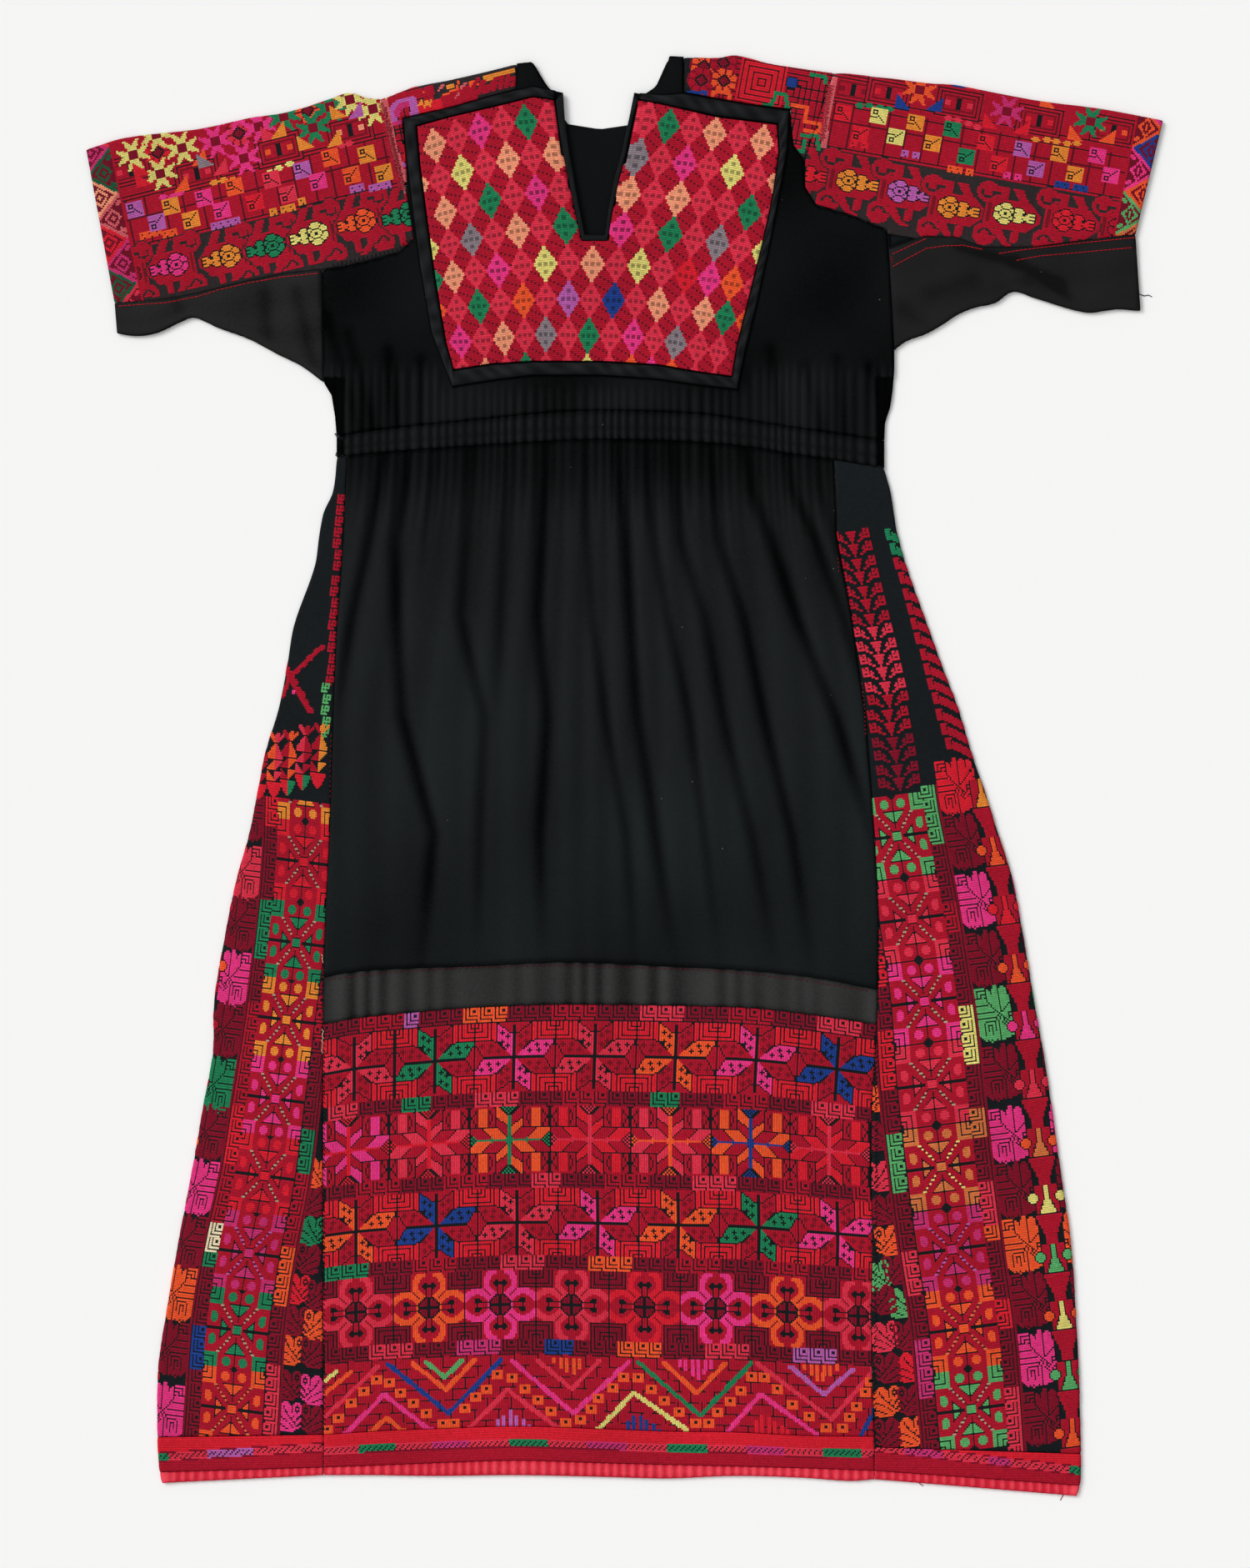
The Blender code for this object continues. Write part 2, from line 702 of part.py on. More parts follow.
def band_low(x):
    """The line where the hem band meets its facing."""
    return curve(HEM, x, 2)


def edge_low(x):
    """The lower edge of the dress."""
    return curve(HEM, x, 3)


def strip_top(x, y):
    """Top of the joining strip, which still carries small pleats."""
    return FRONT + 0.5 + 0.35 * math.sin(x / 3.4 + 2 * math.sin(x / 41))


def band_top(x, y):
    """Top of the hem band."""
    return FRONT + 0.3 + 0.5 * ripple(x, y)


def facing_top(x, y):
    """Top of the facing, drawn into small puckers along the hem."""
    return FRONT - 0.3 + 0.3 * math.sin(x / 2.9 + 1.5 * math.sin(x / 29))


sheet("skirt_front", body_rows(waist_low, strip_high, skirt_top,
                               SKIRT_COLUMNS, SKIRT_LEVELS), None, BLACK)
sheet("skirt_strip", body_rows(strip_high, strip_low, strip_top, 72, (1200,)),
      FRONT - CLOTH, FADED)
sheet("hem_panel", body_rows(strip_low, band_high, panel_top, 16,
                             PANEL_LEVELS), None, RED, wall=STITCHED)
sheet("hem_band_front", body_rows(band_high, band_low, band_top, 16, ()),
      None, RED, wall=STITCHED)
sheet("hem_facing_front", body_rows(band_low, edge_low, facing_top, 80, ()),
      FRONT - 1.7, CORAL)

lie_flat = [
    # name, upper line, lower line, levels, colour
    ("skirt_back", waist_low, strip_low, SKIRT_LEVELS + (1200,), BLACK),
    ("hem_panel_back", strip_low, band_high, PANEL_LEVELS, RED),
    ("hem_band_back", band_high, band_low, (), RED),
    ("hem_facing_back", band_low, edge_low, (), CORAL),
]
for name, upper, lower, levels, colour in lie_flat:
    lines = body_rows(upper, lower, lambda x, y: BACK, 16, levels)
    sheet(name, lines, None, colour, wall=BACK)

# Side panels and the sides of the hem --------------------------------
left_side = [(404, 549, 417, 548)]
left_side += [(row[1], row[0], row[2], row[0]) for row in SIDES]
left_side.append(LEFT_HEM[0])
right_side = [(1061, 562, 1000.3, 552)]
right_side += [(row[4], row[0], row[3], row[0]) for row in SIDES]
right_side.append(RIGHT_HEM[0])
wrap("side_panel_left", left_side, panel_top, RED, front=7)
wrap("side_panel_right", right_side, panel_top, RED, front=8)
for side, table in (("left", LEFT_HEM), ("right", RIGHT_HEM)):
    wrap("hem_band_" + side, table[:2], band_top, RED, front=6)
    wrap("hem_facing_" + side, table[1:], band_top, CORAL, front=6)
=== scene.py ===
"""A black cotton dress covered in cross stitch, laid out flat on its back.

Cloth is drafted on squared paper, x to the right and y down the dress,
0.727 mm a square, as in the part's source, and heights are in mm above
the floor. Embroidery is charted: every stitch is one cell of a lattice
that follows its panel, and one face of the panel's mesh. A letter in a
chart names a thread, and a small letter the same thread half in shade.
"""

import bpy
import numpy as np
from mathutils.geometry import delaunay_2d_cdt
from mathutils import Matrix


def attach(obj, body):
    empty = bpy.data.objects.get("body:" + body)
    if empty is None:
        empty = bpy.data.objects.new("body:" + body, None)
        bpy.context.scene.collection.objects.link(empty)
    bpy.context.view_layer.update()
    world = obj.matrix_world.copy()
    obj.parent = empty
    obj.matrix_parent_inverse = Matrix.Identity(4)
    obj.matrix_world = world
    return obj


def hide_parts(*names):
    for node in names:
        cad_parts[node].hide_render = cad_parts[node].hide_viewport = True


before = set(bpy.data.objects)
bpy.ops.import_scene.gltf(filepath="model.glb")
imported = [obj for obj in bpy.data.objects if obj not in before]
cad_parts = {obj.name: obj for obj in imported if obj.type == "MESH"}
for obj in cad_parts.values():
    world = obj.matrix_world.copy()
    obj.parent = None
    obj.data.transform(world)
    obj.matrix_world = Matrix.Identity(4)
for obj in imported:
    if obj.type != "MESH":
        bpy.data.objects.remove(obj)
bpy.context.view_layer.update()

SQUARE, MIDDLE_X, MIDDLE_Y = 0.727, 749.5, 930.4
SEAM, BACK, FRONT = 0.3, 1.3, 4.3       # mm: a gap, and two levels
HALF = SEAM / 2 / SQUARE
PITCH = 2.2             # squares from one stitch to the next
FOLD = 2.35             # mm, radius of the folds at the sides
TURN = FOLD / SQUARE
UNDER = (2 - np.pi) * TURN      # unfolded place of the fold on the back
WAIST_LEFT, WAIST_RIGHT = 404, 1061
GATHERS = 60            # across the waist
FLOOR = 4               # m from its middle to its edge
CAMERA_HEIGHT, VIEW_HEIGHT, VIEW_MIDDLE = 3.2, 1.3675, (0.00036, -0.00734)
SENSOR = 24             # mm

THREADS = {             # sRGB, as seen in daylight
    "K": (15, 19, 21), "R": (164, 18, 40), "D": (122, 14, 36),
    "S": (206, 28, 44), "C": (210, 46, 68), "P": (220, 50, 122),
    "M": (190, 44, 104), "O": (226, 80, 40), "A": (220, 130, 48),
    "H": (232, 146, 112), "Y": (214, 202, 112), "G": (28, 120, 78),
    "L": (82, 158, 94), "B": (28, 58, 130), "E": (130, 118, 124),
    "V": (172, 86, 158), "I": (222, 206, 170), "W": (106, 14, 34),
    "N": (200, 108, 60), "F": (196, 88, 94), "X": (37, 31, 32),
}
GROUNDS = "KX"          # bare cloth: black, and faded

SIDES = [
    # y, left fold, left seam, right seam, right fold
    (590, 399, 415.1, 1001.5, 1069), (615, 388, 414.1, 1002.3, 1073),
    (640, 383, 413, 1003, 1077), (680, 377, 410.1, 1010.3, 1088),
    (750, 352.5, 405, 1023, 1113), (800, 344, 402.8, 1029.8, 1131),
    (850, 334, 400.5, 1036.5, 1150), (900, 319, 399, 1040.7, 1165),
    (950, 309, 397.5, 1044.8, 1182), (1000, 299, 396, 1049, 1198),
    (1050, 285, 393.5, 1051.5, 1214), (1100, 274, 391, 1054, 1224),
    (1200, 257, 388, 1053, 1241), (1262, 255.5, 388, 1050, 1252),
    (1320, 245, 388, 1046, 1261), (1400, 231, 388, 1045, 1272),
    (1490, 214, 388, 1047, 1285), (1575, 199.5, 388, 1045, 1291),
    (1640, 190, 388.5, 1046, 1294.5),
]
WAIST = [
    # x, top, bottom
    (404, 524, 549), (440, 518, 545), (500, 511, 540), (560, 505, 536),
    (640, 497, 531), (700, 493, 528), (760, 493, 528), (840, 497, 531),
    (900, 505, 537), (950, 513, 545), (1000, 520, 552), (1061, 529, 562),
]
STRIP = [
    # x, top, bottom
    (388, 1172, 1229), (430, 1165, 1221), (500, 1161, 1214),
    (560, 1159, 1209), (660, 1154, 1205), (720, 1155, 1205),
    (800, 1159, 1206), (900, 1164, 1209), (980, 1173, 1218),
    (1053, 1187, 1229),
]
HEM = [
    # x, top of band, top of facing, lower edge
    (389, 1720, 1759, 1769), (450, 1716, 1757, 1769),
    (520, 1713, 1754, 1770), (620, 1710, 1751, 1769),
    (720, 1713, 1754, 1771), (800, 1716, 1756, 1773),
    (880, 1717, 1758, 1770), (960, 1721, 1760, 1772),
    (1020, 1722, 1762, 1776), (1049, 1722, 1763, 1774),
]
# Fold x, fold y, seam x, seam y, from one end of a folded piece.
LEFT_HEM = [
    (189, 1723, 389, 1720), (191.5, 1765, 389, 1759), (194, 1778.5, 389, 1769),
]
RIGHT_HEM = [
    (1297, 1743, 1049, 1735), (1296, 1781, 1049, 1763),
    (1292.5, 1794, 1049, 1774),
]
LEFT_SHOULDER = [
    (620, 77, 619, 108), (580, 87, 580, 119), (540, 96, 540, 130),
    (500, 104, 500, 139), (480, 111, 483, 143), (468, 116, 488, 195),
    (457, 119, 489, 236),
]
LEFT_SLEEVE = [
    (104, 180, 138, 364), (150, 166, 190, 361), (240, 155, 240, 352),
    (300, 142, 300, 337), (345, 135, 340, 329), (400, 118, 386, 324),
    (413, 113, 413, 319), (426, 113, 440, 313), (440, 118, 481, 302),
    (449, 119, 497, 286), (457, 119, 489, 236),
]
LEFT_GUSSET = [
    (141, 401, 138, 364), (165, 404, 164, 362.5), (190, 400, 190, 361),
    (220, 386, 215, 356.5), (234, 382, 240, 352), (262, 394, 270, 344.5),
    (300, 408, 300, 337), (332, 425, 340, 329), (362, 440, 363, 326.5),
    (389, 460, 386, 324),
]
RIGHT_SHOULDER = [
    (821, 69, 821, 112), (860, 70, 860, 119), (884, 67, 900, 126),
    (920, 76, 949, 132), (955, 82, 949, 150), (977, 85, 952, 175),
    (1000, 88, 966, 193),
]
RIGHT_SLEEVE = [
    (1000, 88, 966, 193), (1020, 89, 966, 225), (1045, 92, 979, 246),
    (1080, 96, 1020, 258), (1110, 100, 1064, 276), (1122, 101, 1066, 300),
    (1142, 102, 1110, 284), (1160, 105, 1145, 285), (1200, 113, 1180, 297),
    (1250, 122, 1240, 297), (1320, 131, 1308, 288), (1395, 145, 1362, 282),
]
RIGHT_GUSSET = [
    (1073, 421, 1066, 300), (1088, 410, 1088, 292), (1110, 402, 1110, 284),
    (1130, 391, 1127.5, 284.5), (1150, 378, 1145, 285),
    (1170, 370, 1162.5, 291), (1195, 364, 1180, 297), (1215, 351, 1215, 297),
    (1240, 358, 1240, 297), (1285, 372, 1274, 292.5), (1308, 376, 1308, 288),
    (1340, 372, 1335, 285), (1368, 374, 1362, 282),
]
LEFT_NECK = [(620, 77), (639, 75), (645, 84), (652, 97), (661, 109)]
RIGHT_NECK = [(773, 114), (785, 106), (795, 93), (800, 80), (803, 68)]
RIGHT_SIDE = [(1073, 445), (1071, 470), (1068, 490), (1062, 508)]
LEFT_SIDE = [(402, 500), (398, 475)]
BACK_NECK = [
    (655, 100), (668, 130), (682, 149), (720, 155), (755, 150), (769, 130),
    (786, 106),
]
CHEST = [
    # outer x, outer y, inner x, inner y
    (667, 110, 667, 122), (640, 104, 640, 118), (600, 113, 600, 128),
    (540, 130, 540, 142), (483, 143, 501, 153), (487, 190, 505, 200),
    (494, 250, 513, 262), (503, 320, 523, 335), (517, 400, 536, 412),
    (543, 466, 545, 444), (600, 457, 590, 437), (640, 452, 640, 434),
    (720, 452, 720, 434), (790, 457, 790, 438), (840, 464, 840, 447),
    (885, 469, 878, 452), (894, 425, 884, 415), (910, 360, 899, 355),
    (925, 290, 914, 295), (937, 225, 927, 235), (945, 180, 934, 185),
    (948, 133, 932, 151), (900, 126, 900, 147), (860, 119, 860, 142),
    (821, 112, 821, 133), (795, 114, 795, 127), (768, 113, 766, 121),
]
SLIT = [
    # panel x, panel y, open x, open y
    (667, 122, 676, 112), (670, 150, 678, 145), (677, 190, 684, 186),
    (687, 240, 693, 236), (698, 290, 702, 283), (729, 290, 726, 283),
    (735, 255, 730, 252), (742, 220, 737, 216), (751, 187, 746, 183),
    (759, 145, 755, 142), (766, 121, 761, 112),
]
TROUGH_LEVELS = (540, 590, 650, 740, 860, 1000, 1160)
TROUGHS = [
    # x at each level, width, depth, last y
    (462, 454, 443, 423, 406, 402, 400, 7, 2.0, 900),
    (490, 484, 474, 477, 483, 521, 506, 9, 2.3, 1200),
    (524, 519, 511, 505, 500, 498, 496, 6, 1.3, 760),
    (566, 563, 560, 553, 582, 576, 574, 8, 1.7, 1200),
    (612, 610, 605, 601, 598, 600, 600, 7, 1.1, 900),
    (655, 654, 652, 647, 656, 648, 652, 9, 2.3, 1200),
    (701, 704, 707, 712, 727, 752, 764, 7, 1.4, 1200),
    (742, 745, 751, 757, 766, 786, 812, 9, 2.2, 1200),
    (776, 779, 786, 802, 828, 846, 864, 7, 1.5, 1180),
    (808, 812, 818, 846, 868, 902, 932, 8, 1.6, 1200),
    (852, 858, 864, 892, 917, 950, 974, 8, 1.9, 1200),
    (896, 904, 926, 956, 1003, 1046, 1080, 9, 2.2, 1060),
    (944, 952, 980, 1012, 1045, 1080, 1110, 8, 1.9, 900),
    (978, 986, 1002, 1034, 1064, 1090, 1110, 6, 1.2, 760),
]
CREASES = [
    # x and y at one end, x and y at the other, width, depth
    (392, 380, 434, 520, 8, 0.4), (418, 400, 450, 520, 8, 0.4),
    (466, 420, 476, 512, 8, 0.4), (505, 430, 503, 508, 7, 0.35),
    (925, 420, 937, 508, 8, 0.4), (966, 440, 986, 515, 8, 0.4),
    (1004, 430, 1012, 518, 7, 0.35), (1043, 440, 1060, 486, 7, 0.4),
    (1150, 298, 1219, 316, 6, 1.1), (1219, 316, 1270, 343, 8, 1.5),
    (1270, 343, 1288, 370, 7, 1.2), (1118, 352, 1166, 336, 12, 0.8),
    (1084, 372, 1118, 398, 10, 0.6), (1205, 352, 1232, 340, 8, 0.7),
    (318, 350, 322, 415, 9, 0.6), (356, 350, 376, 440, 8, 0.6),
    (212, 362, 222, 384, 7, 0.5),
]

SEWING = [
    # thread, pitch, length, lean in degrees, scatter, surface, lines
    ("S", 5.4, 5.8, 0, 3, "gusset", """143 368 200 364 240 356 262 349 300
        340 340 333 380 329"""),
    ("S", 5.0, 5.4, 0, 4, "gusset", """1070 306 1109 288; 1198 305 1231 300
        1300 292 1361 286; 1070 321 1111 299 1132 296 1155 295 1178 300;
        1219 313 1247 308 1292 304 1358 298"""),
    ("R", 3.0, 4.0, 80, 9, "gusset", "1069 308 1071 318"),
    ("W", 6.6, 4.0, 0, 6, "strip", """392 1175 460 1167 560 1160 660 1158
        760 1160 860 1164 960 1175 1046 1189"""),
    ("F", 2.6, 7.0, 62, 30, "panel", "460 126 465 150 473 184 486 230"),
    ("R", 2.2, 8.0, 118, 34, "panel", "462 130 468 156 476 192 484 226"),
    ("C", 2.0, 7.0, 84, 30, "panel", "457 124 470 188 482 228"),
    ("F", 2.6, 7.0, 62, 30, "panel", "996 102 994 112 991 135 986 170"),
    ("R", 2.2, 8.0, 118, 34, "panel", "995 106 992 130 987 166"),
    ("C", 2.0, 7.0, 84, 30, "panel", "998 104 990 140 984 170"),
    ("I", 3.6, 5.0, 12, 20, "panel", "387 1144 388 1154"),
    ("I", 3.6, 6.0, 8, 20, "panel", "388 1234 387 1262"),
    ("K", 6.2, 7.0, 38, 9, "panel", "389 1232 389 1400 389 1560 389 1716"),
    ("K", 6.2, 7.0, -38, 9, "panel", """1051 1240 1051 1400 1050 1560 1049
        1728"""),
    ("R", 6.0, 2.6, 0, 14, "skirt", "398 880 397 920 397 958"),
    ("R", 5.0, 2.6, 0, 14, "skirt", """1005 668 1006 686; 1034 818 1037 850
        1038 884"""),
    ("K", 1.8, 2.8, 0, 12, "floor", "1367 353 1373 355 1378 354 1382 356"),
    ("K", 1.2, 5.0, 86, 9, "low", """386 372 386 324 413 319 440 313 481 302
        497 286 489 236 488 195; 952 176 966 193 966 225 979 246 1020 258
        1064 276 1066 300 1073 420; 1066 300 1088 292 1110 284; 619 80 619
        108; 821 72 821 112 860 119; 403 520 409 527 420 526; 403 545 409
        547 424 548; 1030 554 1050 560 1060 562"""),
    ("K", 5.2, 4.0, 72, 9, "panel", "398 319 436 311 478 300 492 287"),
    ("F", 1.8, 2.8, 0, 9, "floor", "1099 1770 1101 1777 1104 1780 1108 1783"),
    ("R", 1.8, 2.8, 0, 9, "floor", "1277 1790 1275 1795 1272 1800"),
]


HEM_ROWS = 231          # of the hem panel's chart
# Meanders of the hem panel: first row, first column, a thread a hook.
MEANDERS = [
    (0, -4, "DDDRRRVDDDOOODDDRRRDDDCCCDDDRRRDDDCCCDD"),
    (47, 3, "CCDDDGGDDDCCCDDDRRRDDDGGDDDRRRDDDCCCDDD"),
    (92, 2, "DDRRRDDDRRRDDDCCDDDRRRDDDCCCDDDRRDDDRRD"),
    (137, 1, "GGGDDDRRRDDDCCCDDDOOODDDRRRDDDRRRDDDRRR"),
    (183, 1, "DDDCCCDDDMMMDDDBBDDDOOODDDCCCDDDVVVDDDC")]
# The zigzag band: lines of thread through places on the draft.
ZIGZAGS = """B 463 1633 536 1692 600 1628; O 493 1632 533 1664 568 1628;
    L 509 1631 532 1649 553 1628; P 612 1629 686 1692 752 1631;
    C 643 1629 684 1663 717 1629; G 764 1631 838 1695 900 1631;
    O 794 1631 834 1668 868 1632; C 906 1632 995 1699 1049 1638;
    V 946 1636 986 1670 1021 1639; Y 389 1653 402 1643;
    O 389 1668 419 1643; C 389 1696 452 1636; P 411 1719 459 1670 516 1714;
    O 442 1717 462 1697 483 1715; C 561 1711 607 1664 669 1711;
    Y 714 1714 758 1667 823 1713; P 871 1714 910 1669 977 1717;
    B 1031 1717 1049 1687"""
TEETH = [("O", 661, 699, 1628, 683, 1646), ("P", 811, 852, 1631, 834, 1652),
         ("O", 961, 1003, 1636, 983, 1655), ("V", 593, 638, 1712, 610, 1690),
         ("B", 749, 793, 1716, 763, 1694), ("S", 903, 946, 1716, 915, 1695)]
SQUARES = """452 1656 467 1656 437 1669 482 1669 423 1684 497 1682 407 1700 513
    1694 394 1713 531 1706 546 1705 558 1690 571 1677 584 1664 597 1650 614
    1650 630 1664 646 1678 662 1691 679 1705 697 1704 709 1691 719 1678 735
    1664 749 1652 765 1652 781 1665 797 1679 814 1694 835 1708 851 1708 862
    1695 876 1682 888 1668 902 1652 917 1652 932 1667 950 1683 970 1699 992
    1713 1010 1712 1019 1700 1028 1686 1037 1671 1047 1658"""
# The twisted line along the hem band, by x.
TWISTS = {
    "front": """0 C 431 G 474 C 520 M 562 C 612 G 657 C 703 M 751 C 800 G
        848 C 895 M 942 C 987 G 1033 C""",
    "left": "-99 D 0 C 191 G 204 C 250 V 305 C",
    "right": "0 C 1085 M 1130 C 1185 M 1212 C 1282 G"}


# Long lines of the side panels, as y and x, and widths on the left, by y.
STAR_LINES = {
    "left": [
        (540, 417), (590, 412), (700, 400), (800, 385), (900, 371),
        (1035, 366), (1130, 357), (1224, 345), (1318, 332), (1410, 319),
        (1503, 300), (1596, 286), (1687, 280), (1800, 272)],
    "right": [
        (540, 986), (628, 1003), (700, 1018), (800, 1041), (900, 1060),
        (1003, 1075), (1102, 1093), (1202, 1108), (1301, 1117), (1399, 1128),
        (1498, 1141), (1592, 1155), (1689, 1164), (1800, 1173)]}
BELL_LINE = [
    (540, 1078), (628, 1100), (800, 1147), (893, 1169), (960, 1179),
    (1028, 1195), (1098, 1208), (1169, 1220), (1238, 1232), (1308, 1240),
    (1378, 1248), (1447, 1257), (1517, 1266), (1585, 1276), (1657, 1283),
    (1727, 1287), (1800, 1292)]
LEFT_WIDTHS = [(540, 50), (1225, 50), (1440, 54), (1690, 56), (1800, 56)]
# Where motifs stand on the side panels: x, y and thread.
STARS = {
    "left": """374 938 A 366 1035 S 357 1130 G 345 1224 A 332 1318 P 319 1410 S
        300 1503 M 286 1596 G 280 1690 O""",
    "right": """1075 1003 L 1093 1102 C 1108 1202 P 1117 1301 C 1128 1399 N
        1141 1498 M 1155 1592 O 1164 1689 L"""}
LEAVES = {
    "left": """303 978 D 293 1044 C 289 1107 D 283 1172 P 272 1233 D
        262 1300 G 254 1360 D 243 1423 P 234 1491 D 221 1554 O 210 1619 D
        206 1690 P""",
    "right": """1140 945 S 1156 1009 D 1168 1080 P 1180 1150 D 1193 1218 L
        1201 1287 D 1207 1361 P 1211 1426 D 1225 1493 O 1236 1560 D
        1247 1629 P 1251 1698 D"""}
BELLS = """1177 952 A 1194 1021 O 1208 1092 S 1219 1162 O 1232 1230 P
    1240 1300 C 1248 1370 N 1257 1439 Y 1266 1509 L 1276 1577 Y
    1283 1649 L 1286 1719 O"""
BUDS = {
    "left": """379 1406 O 376 1440 D 374 1476 G 370 1509 D 357 1546 S
        381 1554 D 356 1584 D 379 1589 O 350 1619 O 375 1623 D 348 1661 D
        375 1666 P 347 1699 P 376 1702 D""",
    "right": """1053 1315 O 1056 1362 D 1057 1411 C 1061 1450 D 1067 1488 O
        1053 1529 L 1075 1522 D 1083 1561 L 1060 1559 D 1062 1603 C
        1088 1601 D 1093 1639 S 1065 1641 D 1063 1680 O 1093 1678 D
        1093 1717 O 1065 1718 D"""}
CREST = 119             # the column that a side panel's chart turns on
# Threads of the meanders: y where each begins, and its letter.
INNER = {"left": "0 D 1200 R 1240 D 1355 G 1415 R 1495 O 1560 D 1642 C 1720 D",
         "right": """0 R 1140 S 1175 D 1237 S 1300 D 1365 L 1430 D 1500 C
         1550 D 1610 M 1675 D"""}
OUTER = {"left": """0 S 1000 D 1085 G 1145 D 1200 R 1330 S 1400 R 1462 I
         1497 G 1522 D 1585 B 1645 D""",
         "right": """0 D 950 L 1010 D 1080 R 1115 D 1208 Y 1275 D 1335 N
         1358 D 1420 C 1475 O 1490 D 1560 S 1600 D 1665 C"""}
LEAF = """
    ...........xx.......... xxxxxx.....xx..xx...... x......x..xxx.xxxx.xx..
    x.xxxx.xx.xxx.xxxx.xxx. x.x....xx.xxx.xxxx.xxx. x.x.xx.xxxxxx.xxxx.xxx.
    ....x..xxxxxx.xxxxxxxx. xxxxxx.xxxxxx.xxxxxx..x xxxxxx.xxxxxx.xxxxxx..x
    xxxxxxx.xxxxx.xxxxx.xxx
    .......x.xxxx.xxxx.xxxx xxxxxxxx.xxxx.xxx.xxxx. xxxxxxxxx.xxx.xx.xxxxxx
    xxxxxxxxxx.xx.x.xxxxxxx ..........x.x..xxxxxx.. xxxxxxxxxxxx.xxxx......
    xxxxxxxxxxx.x.xxx.xxx.. ...........x.x.xx..xxx. xxxxxxxxxx.x.x..x.xx...
    xxxx......x.xx.x.xx.xx. xxx.xxxxx.x.x.x.xx.xxx. xxx.x...x.x.xx.xx.xxx..
    xxx.x.x.x.x.xxx.xxx.... xxx.x.x.x.x.xxxxxxxxx.. xxx.x.x.x.x.xxxxxxxxxx.
    xxx.xxx.xxx.xxxxxxxxxx. xxx.xxx.xxx.xxxxxxxxxx. .xxxxxxxxxx.xxxxxxxx...
    ..xxxxxxxxx.xxxxx......
    ...x.x.xx.x.xx......... ......x................"""
BUD = """
    .xxx....xxx... xx.xx..xxxxx.. x...x.xxxxkxx. x.x.x.xxxxkxxx
    x...x.xxxkxxxx xx.xx.xxkkxxx. .xxxxxxxkxxxxx ..xx.xxkxxxxxx
    x..xxkkxxxx..x xx.xxkxxx..xxx .xx.kxxx.xxxxx ..xkxx.xxxxxx.
    x..xx.xxxxx... .xxx.xxxx..xxx ...xxxx..xxxxx ....xxxxxxxx.."""
TIER = """
    x.xx.................xx.x xxkx.....xxxxxxx.....xkxx
    xxxx.x....xxxxx....x.xxxx xkkx.xx...xxxxx...xx.xkkx
    xxxxxx.....xxx.....xxxxxx .....xx....xxx....xx.....
    .......xx...x...xx....... ............x............"""
ROWS = """
    x..xx...oo xx.xxx.ooo .xxxxxooo. ..xxxxoo.. ...xxoo... ..........
    ....xo.... ...xxoo... ...xxooo.. ..xxxooo.. .xxxxoooo. .xxxxooooo
    xxxxxooooo xxxxxooooo kkkkkkkkkk xxxxxo.... .xxxxoo... ..xxxooo..
    ...xxoooo. ....xooooo kkkkkkkkkk xxxxx....o .xxxx...oo ..xxx..ooo
    ...xx.oooo ....xooooo kkkkkkkkkk xxxxxooooo xxxxxooooo .xxxxoooo.
    .xxxxoooo. ..xxxooo.. ..xxxooo.. ...xxoo... ....xo...."""
HOOK = "xxx.x xkx.x xxxxx ..x.x .xxxx"
CHECK = """
    xxxxxxxxx xkkkxxxxx xkxkxxxxx xkkkxxxxx xxxxkxxxx kkkkxkxxx xxxxxxkxx
    xxxxxxxkx xxxxxxxxx"""
SPRAY = """
    ....xxxx.............. ..kxxxxxx............. .xxkxxxxk..xxxx.......
    xxxxkkkkxxkxxxxx...... xxxkxxxxkxkkxxxk..xxxx .kkxxkkxxkkxxxxkkxxkkk
    xxkxxkkxxkkxxxxxxxxxxx xxxkxxxxkxkkxxxkxxxkkk xxxxkkkkxxkxxxxxk.xxxx
    .xxkxxxxk..xxxx....... ..kxxxxxx............. ....xxxx.............."""
